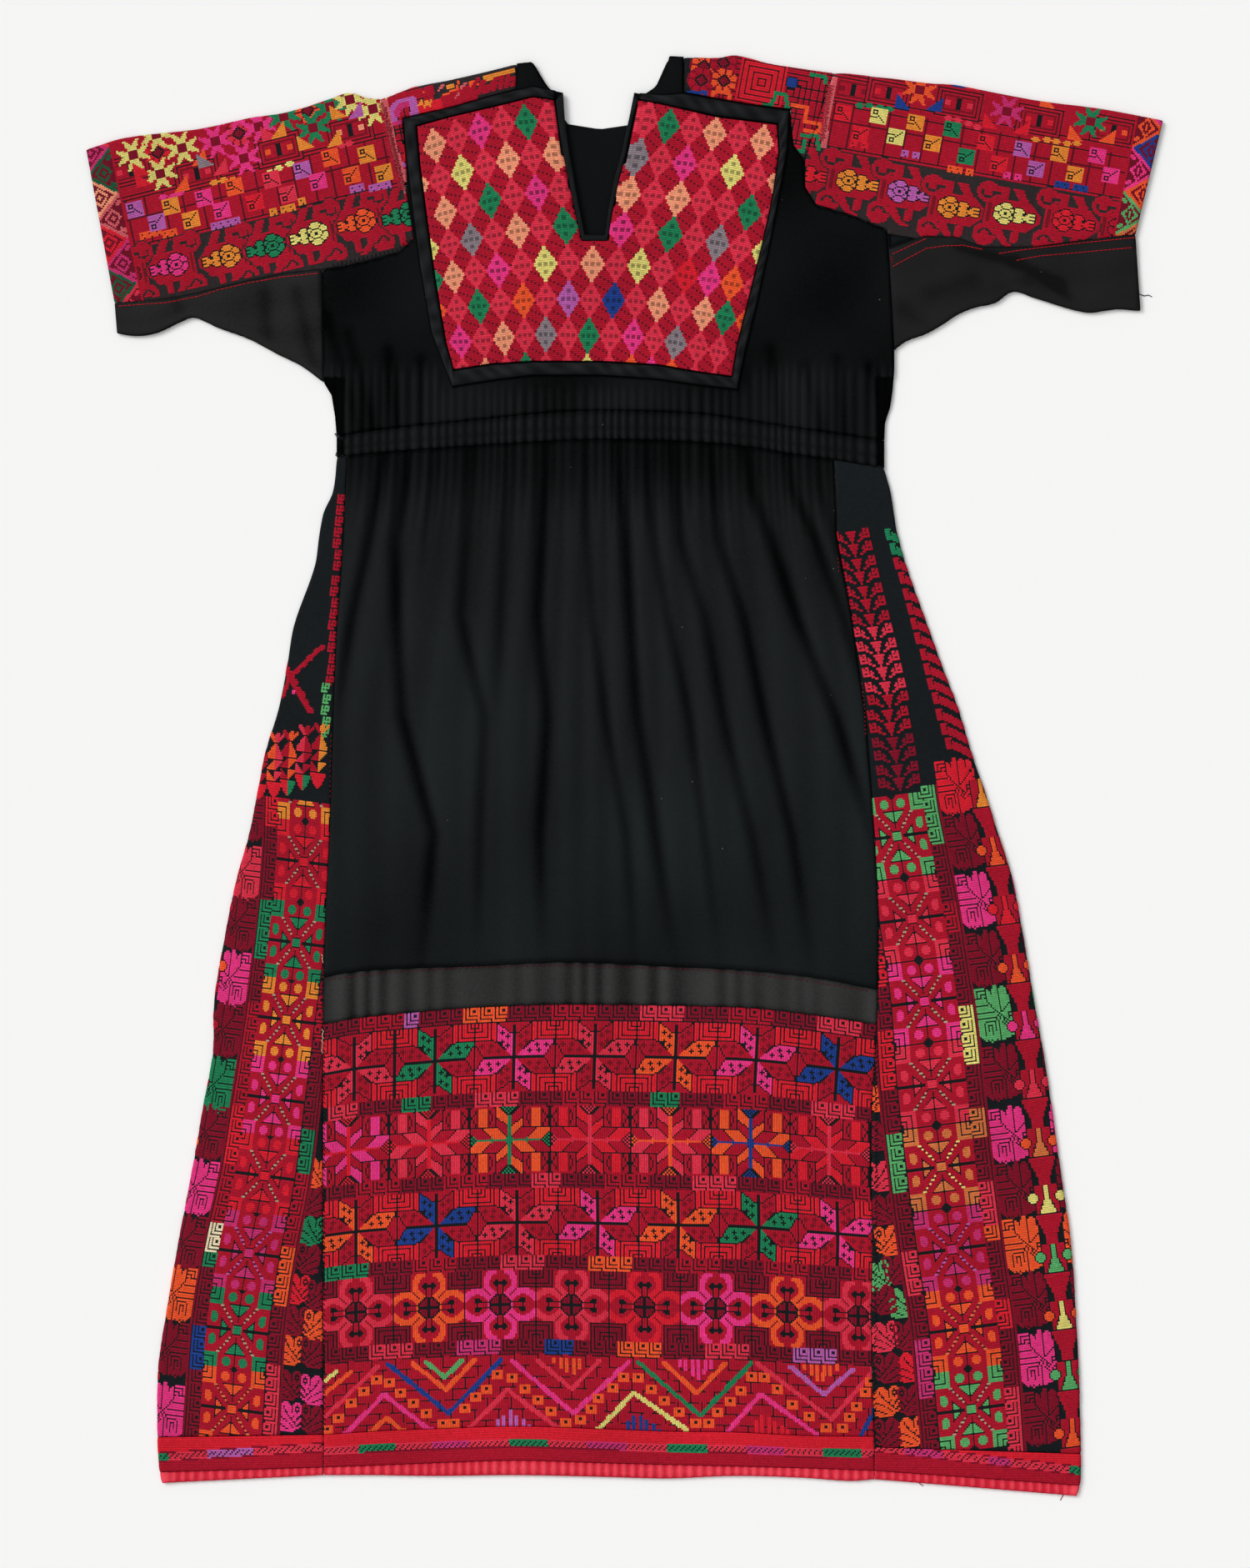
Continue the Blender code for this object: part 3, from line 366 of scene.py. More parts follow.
SLEEVE = {
    # Where the motifs of each sleeve stand: x, y and thread.
    "left": {
        "star": """160 187 Y 217 178 Y 192 209 Y 187 161 Y 258 169 P
            310 153 P 291 190 P 284 137 P 339 141 G 376 154 G 396 128 G
            420 120 Y 447 130 Y""",
        "rosette": "189 183 S 285 161 C 368 133 O",
        "frame": "157 204 C 235 210 C 335 180 O 420 155 H",
        "check": """162 252 V 205 247 A 243 237 P 280 225 O 325 215 C
            362 205 V 397 190 O 438 185 A 187 268 V 229 263 A 265 252 P
            305 243 S 345 233 C 382 218 P 420 210 O 460 208 A""",
        "comb": """172 283 O 181 281 O 190 280 O 199 279 O 208 278 O
            256 273 V 265 271 V 274 268 V 283 265 V 327 253 A 338 250 A
            349 247 A 360 243 A 424 226 V 434 225 V 445 224 V 456 223 V
            466 222 V""",
        "dash": """196 237 P 206 235 P 216 231 P 256 220 A 268 217 A
            280 216 A 324 208 Y 335 203 Y 346 198 Y 409 175 C 418 172 C""",
        "spray": """148 333 D 205 320 P 265 310 A 322 298 G 372 282 Y
            430 268 O 484 260 G""",
        "corner": """171 203 S 215 222 O 172 213 S 236 190 O 247 190 E
            263 203 C 322 157 C 335 157 A 368 172 A 398 166 A 408 133 A
            424 134 V"""},
    "right": {
        "star": "1103 108 O 1207 133 M 1308 145 G",
        "rosette": "",
        "frame": "1022 107 D 1065 112 S 1150 125 C 1245 145 S 1335 158 O",
        "check": """1010 135 S 1054 140 Y 1098 147 A 1141 156 G 1181 170 S
            1225 178 V 1269 185 A 1316 187 P 1032 160 S 1074 165 Y
            1117 172 A 1157 188 G 1197 197 S 1241 203 V 1287 208 A
            1331 210 P""",
        "comb": """1024 175 S 1036 177 S 1084 183 V 1097 186 V 1140 201 O
            1151 204 O 1162 207 O 1206 212 P 1220 214 P 1268 221 B
            1279 222 B 1291 224 B 1300 225 B""",
        "dash": """1030 126 G 1042 127 G 1054 129 G 1067 131 G 1137 141 C
            1148 144 C 1160 148 C 1172 152 C 1242 167 A 1254 168 A
            1266 170 A 1278 172 A 1291 173 A""",
        "spray": """1352 276 R 962 207 S 1025 218 A 1085 232 V 1147 252 A
            1215 258 Y 1285 266 S""",
        "corner": """1087 122 B 1121 126 B 1190 148 S 1225 152 S 1291 159 O
            1326 163 O 1155 98 B 1168 101 S 1258 120 O"""}}


# Reading the draft ---------------------------------------------------
def smooth(low, high, value):
    """Rise from 0 to 1 in an S as value passes from low to high."""
    share = np.clip((value - low) / (high - low), 0, 1)
    return share * share * (3 - 2 * share)


def read(table, at, column=1):
    """Read a column of a table in straight lines between its rows."""
    table = np.asarray(table, float)
    return np.interp(at, table[:, 0], table[:, column])


def curve(table, at, column=1):
    """Read a column as a smooth curve: cubics through the table's rows."""
    table = np.asarray(table, float)
    xs, ys = table[:, 0], table[:, column]
    slope = np.gradient(ys)
    slope[1:-1] = (ys[2:] - ys[:-2]) / (xs[2:] - xs[:-2])
    slope[0] = (ys[1] - ys[0]) / (xs[1] - xs[0])
    slope[-1] = (ys[-1] - ys[-2]) / (xs[-1] - xs[-2])
    i = np.clip(np.searchsorted(xs, at) - 1, 0, len(xs) - 2)
    span = xs[i + 1] - xs[i]
    t = (at - xs[i]) / span
    bend = (2 * t ** 3 - 3 * t * t + 1) * ys[i]
    bend = bend + (3 * t * t - 2 * t ** 3) * ys[i + 1]
    bend = bend + (t ** 3 - 2 * t * t + t) * slope[i] * span
    return bend + (t ** 3 - t * t) * slope[i + 1] * span


def place(x, y, z):
    """Drafted points with heights in mm, as rows of metres."""
    x, y, z = np.broadcast_arrays(x, y, z)
    spots = np.stack([(x - MIDDLE_X) * SQUARE, (MIDDLE_Y - y) * SQUARE, z], -1)
    return spots.reshape(-1, 3) / 1000


# Heights of the cloth ------------------------------------------------
def ripple(x, y):
    """Slow rise and fall: a product of two sine waves."""
    return 0.35 * np.sin(x / 47 + y / 160) * np.sin(y / 71 - x / 300)


def trough(x, y):
    """Depth of the skirt's folds: a bell curve across each path."""
    total = 0.0
    for row in TROUGHS:
        path = np.interp(y, TROUGH_LEVELS, row[:7])
        away = (x - path) / row[7]
        ends = 1 - smooth(row[9] - 160, row[9], y)
        ends = ends * (1 - 0.45 * smooth(940, 1120, y))
        total = total + row[8] * np.exp(-away * away) * ends
    return np.minimum(total, 2.4)


def crease(x, y):
    """Depth of the short creases: a bell curve about each line."""
    total = 0.0
    for x0, y0, x1, y1, width, depth in CREASES:
        run_x, run_y = x1 - x0, y1 - y0
        share = (x - x0) * run_x + (y - y0) * run_y
        share = np.clip(share / (run_x ** 2 + run_y ** 2), 0, 1)
        off = np.hypot(x - x0 - run_x * share, y - y0 - run_y * share)
        total = total + depth * np.exp(-(off / width) ** 2)
    return np.minimum(total, 1.5)


def gather(x):
    """The waist's gathers, 0 in a trough and 1 on a crest, unevenly."""
    share = (x - WAIST_LEFT) / (WAIST_RIGHT - WAIST_LEFT)
    turn = GATHERS * share + 0.32 * np.sin(23 * share)
    turn = turn + 0.18 * np.sin(61 * share + 1)
    high = 0.78 + 0.22 * np.sin(37 * share + 2)
    return high * (0.5 - 0.5 * np.cos(2 * np.pi * turn))


def to_side(x):
    """How far the front comes down onto the back at its sides."""
    near = np.minimum(x - WAIST_LEFT, WAIST_RIGHT - x)
    return 1.5 * (1 - smooth(0, 14, near))


def bodice_top(x, y):
    """The bodice: level, less its creases, plus gathers at the waist."""
    side = np.where(y > 455, to_side(x), 0.0)
    start = np.where((x > 528) & (x < 900), 452, 428)
    full = smooth(start, start + 32, y)
    soft = 0.25 * np.sin(x / 31 + y / 90) * np.sin(y / 43)
    return FRONT - side - crease(x, y) + full * gather(x) * 0.95 + soft


def waist_top(x, y):
    """The casing: gathers, pinched where two rows of thread draw it."""
    high = curve(WAIST, x, 1)
    share = (y - high) / (curve(WAIST, x, 2) - high)
    drawn = np.exp(-((share - 0.12) / 0.1) ** 2)
    drawn = drawn + np.exp(-((share - 0.62) / 0.1) ** 2)
    return FRONT - to_side(x) + 1.3 * gather(x) - 0.7 * drawn * gather(x)


def skirt_top(x, y):
    """The skirt: lifted, less its folds, with gathers under the waist."""
    lift = 1.9 * smooth(545, 640, y) * (1 - 0.45 * smooth(900, 1160, y))
    dip = trough(x, y) * (0.45 + 0.5 * smooth(545, 640, y))
    fan = 732 + (x - 732) * (1 - 0.16 * smooth(540, 900, y))
    fine = gather(fan) * 1.1 * (1 - smooth(545, 690, y))
    fine = fine + 0.35 * np.sin(fan / 5.1 + 3 * np.sin(fan / 57)) \
        * smooth(560, 640, y) * (1 - smooth(760, 1160, y) * 0.8)
    height = FRONT + lift + ripple(x, y) * y / 1000 - dip + fine
    return np.maximum(height, 3.0)


def panel_top(x, y):
    """The embroidered panels."""
    return FRONT + 0.4 + ripple(x, y)


def gusset_top(x, y):
    """The gussets, which pucker under the sleeves."""
    soft = 0.25 * np.sin(x / 21 + y / 13) * np.sin(y / 17 - x / 41)
    return FRONT + 0.3 - crease(x, y) + soft


def strip_top(x, y):
    """The joining strip and its small pleats."""
    pleat = np.sin(x / 4.7 + 2.6 * np.sin(x / 37) + 1.3 * np.sin(x / 14))
    return FRONT + 0.5 + 0.4 * pleat * (0.65 + 0.35 * np.sin(x / 59 + 1))


def band_top(x, y):
    """The hem band."""
    return FRONT + 0.3 + 0.5 * ripple(x, y)


def facing_top(x, y):
    """The facing, drawn into small puckers along the hem."""
    return FRONT - 0.3 + 0.45 * np.sin(x / 1.75 + 1.5 * np.sin(x / 29))


def back_top(x, y):
    """The back, which lies on the floor."""
    return BACK + 0 * x


def chest_top(x, y):
    """The chest panel, sewn on over the bodice."""
    return 6.2 + 0.12 * np.sin(x / 19) * np.sin(y / 23)


# Shapes: unfolded draft to place -------------------------------------
def flat(top):
    """A piece that lies as drafted: its height is top plus a lift."""
    def shape(x, y, lift):
        return place(x, y, top(x, y) + lift)
    return shape


def folded(fold, inward, upright, top):
    """A piece that goes round an edge.

    e is how far inside the fold a drafted point is. Past e = TURN the
    cloth lies as drafted. Below that it runs round a half circle of
    radius FOLD and then back along the floor, so cloth is not stretched.
    """
    def shape(x, y, lift):
        line = fold(y if upright else x)
        e = inward * ((x if upright else y) - line)
        angle = np.clip((TURN - e) / TURN, 0, np.pi)
        arm = FOLD + lift
        d = np.where(e > TURN, e, TURN - arm / SQUARE * np.sin(angle))
        under = angle >= np.pi
        d = np.where(under, UNDER - e, d)
        bare = top(x, y)
        level = bare + (2 * FOLD - bare) * (1 - smooth(TURN, TURN + 16, e))
        z = np.where(e > TURN, level + lift, FOLD + arm * np.cos(angle))
        z = np.where(under, -lift, z)
        across = line + inward * d
        return place(across, y, z) if upright else place(x, across, z)
    return shape


def near_fold(fold, inward, upright):
    """Which corners go round a fold, and their steps along it."""
    def zone(x, y, i, j):
        """From a little inside the fold to just past its half circle."""
        e = inward * ((x if upright else y) - fold(y if upright else x))
        return (e < TURN + 5) & (e > -2.3 * TURN), i if upright else j
    return zone


def unfolded_ring(rows, fold, inward, upright):
    """The outline of a folded piece in its unfolded draft.

    Front seam points, then round the last end, back seam points and
    round the first end. A point d inside the fold on the back is
    drafted at e = UNDER - d, which is (2 - pi) TURN - d.
    """
    rows = np.asarray(rows, float)

    def drafted(x, y, e):
        """The drafted place at e inside the fold, beside x and y."""
        line = fold(y if upright else x)
        return (line + inward * e, y) if upright else (x, line + inward * e)

    def end(row):
        """Drafted points round one end, from front seam to back seam."""
        fx, fy, sx, sy = row
        along = (fold(sy) if upright else fold(sx))
        size = inward * ((sx if upright else sy) - along)
        es = np.r_[np.linspace(size, TURN, 8)[1:],
                   TURN * (1 - np.linspace(0.2, np.pi, 5)),
                   UNDER - np.linspace(TURN, size, 8)[1:-1]]
        ds = np.where(es > TURN, es, UNDER - es)
        ds = np.where((es <= TURN) & (es > (1 - np.pi) * TURN),
                      TURN * (1 - np.sin((TURN - es) / TURN)), ds)
        share = np.clip(ds / size, 0, 1)
        return [drafted(fx + (sx - fx) * s, fy + (sy - fy) * s, e)
                for s, e in zip(share, es)]

    front = [(row[2], row[3]) for row in rows]
    back = []
    for _, _, x, y in rows:
        line = fold(y if upright else x)
        d = inward * ((x if upright else y) - line)
        back.append(drafted(x, y, UNDER - d))
    return np.array(front + end(rows[-1]) + back[::-1] + end(rows[0])[::-1])


def turned_over(rows, top, *fold):
    """The outline, shape and zone of a piece that goes round a fold."""
    return (drawn_in(unfolded_ring(rows, *fold), HALF), folded(*fold, top),
            near_fold(*fold))


def drawn_in(ring, amount):
    """Move a closed outline inward by an amount in squares."""
    ring = np.asarray(ring, float)
    after = np.roll(ring, -1, 0)
    area = np.sum(ring[:, 0] * after[:, 1] - after[:, 0] * ring[:, 1])
    run = after - ring
    run /= np.maximum(np.hypot(*run.T), 1e-9)[:, None]
    side = np.stack([-run[:, 1], run[:, 0]], 1) * np.sign(area)
    before = np.roll(side, 1, 0)
    mix = side + before
    scale = np.maximum(1 + np.sum(side * before, 1), 0.5)
    return ring + mix * (amount / scale)[:, None]


def to_ring(x, y, ring):
    """Distance in from a closed outline, and its nearest point."""
    best = np.full(x.shape, 1e9)
    at_x, at_y = x.copy(), y.copy()
    odd = np.zeros(x.shape, bool)
    for (ax, ay), (bx, by) in zip(ring, np.roll(ring, -1, 0)):
        rx, ry = bx - ax, by - ay
        share = (x - ax) * rx + (y - ay) * ry
        share = np.clip(share / max(rx * rx + ry * ry, 1e-9), 0, 1)
        qx, qy = ax + rx * share, ay + ry * share
        away = np.hypot(x - qx, y - qy)
        hit = away < best
        best = np.where(hit, away, best)
        at_x, at_y = np.where(hit, qx, at_x), np.where(hit, qy, at_y)
        if ay != by:
            odd ^= ((ay > y) != (by > y)) & (x < ax + rx * (y - ay) / ry)
    return np.where(odd, best, -best), at_x, at_y


# Charts --------------------------------------------------------------
def blank(rows, columns, thread="K"):
    """A chart of one thread."""
    return np.full((rows, columns), ord(thread), np.uint8)


CLEAR = "\0"            # a cell that stays as it was under a stamp


def ground(rows, columns, thread="K"):
    """A tile, with each cell's place right of and below its middle."""
    b, a = np.mgrid[:rows, :columns].astype(float)
    return (blank(rows, columns, thread), a - (columns - 1) / 2,
            b - (rows - 1) / 2)


def sew(tile, where, thread):
    """Work one thread into a tile wherever a mask holds."""
    tile[where] = ord(thread)


def grow(mask, times=1):
    """A mask and the cells that touch it by a side."""
    for _ in range(times):
        wide = np.pad(mask, 1)
        mask = (wide[1:-1, 1:-1] | wide[:-2, 1:-1] | wide[2:, 1:-1]
                | wide[1:-1, :-2] | wide[1:-1, 2:])
    return mask


def charted(text, accent="C", other="R"):
    """A small tile from rows of marks: x accent, o other, k black."""
    rows = text.split()
    tile = np.array([list(row.encode()) for row in rows], np.uint8)
    for mark, thread in zip("xok", accent + other + "K"):
        tile[tile == ord(mark)] = ord(thread)
    sew(tile, tile == ord("."), CLEAR)
    return tile


def stamp(chart, tile, row, column, turn=""):
    """Lay a tile by its middle, turned over in x or y if turn says."""
    if "x" in turn:
        tile = tile[:, ::-1]
    if "y" in turn:
        tile = tile[::-1]
    high, wide = tile.shape
    r, c = int(round(row - high / 2)), int(round(column - wide / 2))
    r0, c0 = max(r, 0), max(c, 0)
    r1, c1 = min(r + high, chart.shape[0]), min(c + wide, chart.shape[1])
    if r1 > r0 and c1 > c0:
        part = tile[r0 - r:r1 - r, c0 - c:c1 - c]
        area = chart[r0:r1, c0:c1]
        area[part > 0] = part[part > 0]


def meander(accent):
    """One hook of the meander line, 8 cells by 8, with its loop."""
    return charted("xkxkxxxx xkxkxkkx xkxkxkkx xkxkxxxx xkxkkkkk xkxxxxxx "
                   "xkkkkkkk xxxxxxxk", accent)


def pinwheel(accent):
    """Eight leaning petals, four of them bright, in nested corners."""
    tile, a, b = ground(38, 44, "R")
    depth = np.maximum(22 - abs(a), 19 - abs(b))
    sew(tile, depth < 13, "S")
    sew(tile, (depth < 13.5) & np.isin(np.floor(depth) % 5, (2, 4)), "K")
    cover = np.zeros(tile.shape, bool)
    petals = []
    for flip in (-1, 1):
        for turn in (1, -1):
            p, q = a * flip * turn, b * turn
            up = (p > -9) & (p < -0.9) & (q > 0.75 * p - 11.6)
            up &= q < 1.1 * p + 0.4
            out = (q > -8.6) & (q < -0.9) & (p > 0.2 - 1.22 * q)
            out &= p < 16 - 0.62 * q
            marks = [(-6.5, -13.5), (-3.5, -11.5), (-6.5, -8.5), (-3.5, -6.5),
                     (12.5, -6.5), (17.5, -6.5), (8.5, -3.5), (13.5, -3.5)]
            plus = np.zeros(tile.shape, bool)
            for x, y in marks:
                plus |= abs(p - x) + abs(q - y) < 1.2
            petals.append((up | out, plus, accent if flip == 1 else "R"))
            cover |= up | out
    sew(tile, grow(cover) & ~cover, "K")
    sew(tile, grow(cover, 2) & ~grow(cover) & (depth > 13), "R")
    for petal, plus, thread in petals:
        sew(tile, petal, thread)
        sew(tile, petal & plus, "K" if thread == accent else "r")
    sew(tile, (abs(a) < 0.6) & (abs(b) < 18) & ~cover, "K")
    tile[:, 0] = ord("K")
    return tile


def eight_petals(accent, axis="S"):
    """A star of eight split arms, with framed bars in its corners."""
    tile, a, b = ground(37, 44)
    side, rise = abs(a), abs(b)
    u, v = abs(side - 14.7), abs(rise - 12.2)
    sew(tile, (u < 6.8) & (v < 6.6) & (u + v < 11.5), "R")
    sew(tile, (abs(u + 0.55 * v - 5.8) < 0.5) & (v < 5.4), "K")
    sew(tile, (u < 3.4) & (v < 5.6), "r")
    sew(tile, (u < 2.6) & (v < 5.2), accent)
    for along, across, size, wide in ((rise, side, 6.2, 7), (side, rise, 8.6,
                                                             6.4)):
        on = (along - across * 0.95) / size
        arm = (across < wide) & (on >= 0) & (on < 2)
        sew(tile, grow(arm) & ~arm, "K")
        odd = (np.floor(on) + (a * b > 0) + (size > 7)) % 2 == 0
        sew(tile, arm & odd, accent)
        sew(tile, arm & ~odd, "R")
        sew(tile, arm & (abs(on - 1) < 0.08), "K")
    sew(tile, (side < 0.6) & (rise < 14) | (rise < 0.6) & (side < 18), axis)
    sew(tile, np.hypot(side - 9.4, rise) < 1.3, axis)
    sew(tile, np.hypot(a, b) < 2, axis)
    tip = (rise < 0.85 * (side - 17)) | (side < 1.15 * (rise - 14.4))
    sew(tile, tip, "K")
    sew(tile, tip & ((a + b) % 2 < 1), axis)
    tile[:, 0] = ord("K")
    return tile


def quatrefoil(accent):
    """Four round lobes with dark eyes about a dark-edged middle."""
    tile, a, b = ground(38, 40, "R")
    corner = np.maximum(20 - abs(a), 19 - abs(b))
    sew(tile, corner < 9.5, "D")
    sew(tile, (corner < 9.9) & np.isin(np.floor(corner) % 5, (2, 4)), "K")
    lobes = [(0, -12.2), (0, 12.2), (-12.4, 0), (12.4, 0)]
    for x, y in lobes:
        away = np.hypot(a - x, b - y)
        out = ((a - x) * np.sign(x) + (b - y) * np.sign(y)) / (away + 0.01)
        sew(tile, (away < 9.4) & (away > 5.4) & (out < 0.93), accent)
    for x, y in lobes:
        away = np.hypot(a - x, b - y)
        sew(tile, away < 5.8, "R")
        far, near = (b - y, a - x) if x == 0 else (a - x, b - y)
        blob = np.hypot((abs(near) - 2.1) / 1.7, far / 2.1)
        sew(tile, blob < 1, "K")
    side, rise = abs(a), abs(b)
    bars = (abs(side - 1.1) < 0.6) & (rise < 12)
    bars |= (abs(rise - 1.1) < 0.6) & (side < 12)
    sew(tile, bars, "K")
    sew(tile, (abs(side - rise) < 0.6) & (side > 5) & (side < 8.6), "r")
    middle = np.hypot(a, b)
    sew(tile, middle < 6.2, "K")
    sew(tile, middle < 5.1, "D")
    sew(tile, (middle < 5) & ((side < 0.6) | (rise < 0.6)), "K")
    tile[:, 0] = ord("K")
    return tile


def comb_teeth(chart, find, left, right, base, tip_x, tip_y, thread):
    """A triangle of upright teeth between its base line and its tip."""
    for x in np.arange(left + 2, right, 7.6):
        share = 1 - abs(x - tip_x) / max(tip_x - left, right - tip_x)
        seam_line(chart, find, [(x, base), (x, base + (tip_y - base)
                                            * max(share, 0.12))], thread, 2)


def zigzag_band(chart, find, first):
    """The lowest band: nested Vs and a chain of squares on brick lines."""
    rows, columns = np.mgrid[:chart.shape[0] - first, :chart.shape[1]]
    tile = chart[first:]
    tile[:] = ord("R")
    course = rows // 6
    sew(tile, ((rows % 6 == 0) & ((columns + 4 * course) % 13 > 3))
        | ((columns + 7 * course) % 13 == 0), "K")
    seam_lines(chart, find, ZIGZAGS)
    for thread, *marks in TEETH:
        comb_teeth(chart, find, *marks, thread)
    square = charted("xxxxxx xxkkxx xxkkxx xxxxxx xxxxxx", "O")
    for px, py in pairs(SQUARES.split()):
        stamp(chart, square, *find(px, py))


def hem_panel_chart(x, y):
    """The whole hem panel, band under band, from the top."""
    chart = blank(HEM_ROWS, x.shape[1] - 1)
    for top, first, colours in MEANDERS:
        for k, thread in enumerate(colours):
            stamp(chart, meander(thread), top + 4, first + 8 * k + 4)
    for k, thread in enumerate("CGPCOPB"):
        stamp(chart, pinwheel(thread), 28, 16.8 + 43.8 * k,
              "" if k else "x")
        stamp(chart, pinwheel("OBCPOGP"[k])[:37], 118.5, 18.5 + 43.8 * k)
        accent, axis = ("PS", "CS", "OG", "SC", "CO", "OB", "SC")[k]
        stamp(chart, eight_petals(accent, axis), 73.5, 14 + 43.9 * k)
    for k, thread in enumerate("COPCSPOC"):
        stamp(chart, quatrefoil(thread), 164, 18.4 + 39.3 * k)
    zigzag_band(chart, finder(x[:-1, :-1], y[:-1, :-1]), 191)
    return chart


def pairs(words):
    """Places from words of x and y in turn."""
    marks = [float(word) for word in words]
    return list(zip(marks[::2], marks[1::2]))


def spots(text):
    """Places and threads from words of x, y and letter."""
    words = text.split()
    return zip(map(float, words[::3]), map(float, words[1::3]), words[2::3])


def threads_at(text, where):
    """The threads of runs: each start is followed by its letter."""
    words = text.split()
    starts = [float(word) for word in words[::2]]
    letters = np.frombuffer("".join(words[1::2]).encode(), np.uint8)
    return letters[np.searchsorted(starts, where, "right") - 1]


def star_square(accent):
    """A dotted cross, split wedges between its arms, combs in corners."""
    tile, a, b = ground(44, 37)
    p, q = abs(a), abs(b)
    lean = (q - 1.2 * p) / 1.56
    sew(tile, (p < 10.4) & (q > 13.8) | (p > 10.8) & (q < 12.6), "R")
    sew(tile, np.hypot((p - 5) / 2.8, (q - 17.4) / 2.4) < 1, accent)
    sew(tile, np.hypot((p - 14.6) / 2.2, (q - 6.2) / 3.3) < 1, accent)
    arm = (p < 11.5) & (q < 13.8)
    sew(tile, arm & (abs(lean) < 3.6), "R")
    sew(tile, arm & (abs(lean) < 0.55), "K")
    dots = {"N": "Y", "M": "V", "O": "N"}.get(accent, "i")
    sew(tile, arm & (abs(lean) < 0.5) & (np.floor(q) % 2 < 1), dots)
    sew(tile, (lean > 4.1) & (q < 12.9) | (lean < -4.1) & (p < 10), accent)
    comb = np.minimum(p - 11, q - 13.5)
    sew(tile, comb >= -0.5, "K")
    sew(tile, (comb >= 0) & (comb % 2.6 < 1.6), accent)
    sew(tile, (p < 0.6) & (q > 4) | (q < 0.6) & (p > 3), "K")
    sew(tile, (p < 3) & (q < 3), "K")
    sew(tile, (p < 2.6) & (q < 2.4), accent)
    sew(tile, p + 22 - q < 3, "K")
    return tile


def bell(accent):
    """A bell on a thin stem, over the urn that it stands on."""
    tile, a, b = ground(32, 15)
    side, down = abs(a), b + 16
    sew(tile, (down < 15) & (side < 6.4), "R")
    body = np.interp(down, (0, 6, 13, 13.1, 15), (1.1, 1.1, 3.7, 4.6, 4.6))
    sew(tile, (down < 15.6) & (side < body + 1.3), "K")
    sew(tile, (down < 14.6) & (side < body), accent)
    urn = np.interp(down, (16, 19, 25, 28, 32), (7.4, 6.8, 4.2, 3.4, 3.8))
    sew(tile, (down > 15.8) & (side < urn), "R")
    return tile


def disc(accent, size=2.6):
    """A round berry with a dark edge."""
    tile, a, b = ground(7, 7)
    sew(tile, np.hypot(a, b) < size, accent)
    sew(tile, np.hypot(a, b) > size + 1, CLEAR)
    return tile


def plume(accent):
    """One barb of a feather: it drops outward from a blunt end."""
    tile, a, b = ground(26, 28, CLEAR)
    a, b = a + 13.5, b + 12.5
    drop = 0.62 * a
    sew(tile, (b > drop) & (b < drop + 4.6) & (a > 1), accent)
    sew(tile, (a < 3.4) & (b > 0.5) & (b < 7), accent)
    sew(tile, (abs(a - 3.4) < 0.6) & (b > 1.5) & (b < 5), "K")
    return tile


def small_star(accent):
    """Four notched petals round a dark square."""
    tile, a, b = ground(17, 17, CLEAR)
    a, b = abs(a), abs(b)
    for out, across in ((a, b), (b, a)):
        petal = (out > 2.8) & (across < 2.3 + 0.36 * (out - 3))
        sew(tile, petal & (across > out - 5.8), accent)
    sew(tile, np.maximum(a, b) < 2.8, "D")
    return tile


def rosette(accent):
    """Eight petals round a dark eye."""
    tile, a, b = ground(15, 15, "D")
    reach = np.hypot(a, b)
    sew(tile, reach > 7.4, CLEAR)
    petal = abs(np.sin(4 * np.arctan2(b, a) + 0.2)) > 0.3
    sew(tile, (reach < 6.8) & petal, accent)
    sew(tile, (reach < 3.2) & (reach > 2.2), "K")
    return tile


def frame_tile(accent):
    """Nested frames round a black middle with a bead on either side."""
    tile, a, b = ground(17, 25, "R")
    depth = np.floor(np.minimum(12.5 - abs(a), 8.5 - abs(b)))
    sew(tile, np.isin(depth, (0, 2)), "K")
    sew(tile, depth == 4, "r")
    sew(tile, (abs(a) < 1.8) & (abs(b) < 3.6), "K")
    sew(tile, np.hypot(abs(a) - 6, b) < 1.9, accent)
    return tile


def corner_tile(accent):
    """A right-angled corner piece."""
    tile, a, b = ground(9, 9, CLEAR)
    sew(tile, a + b > 0, accent)
    return tile


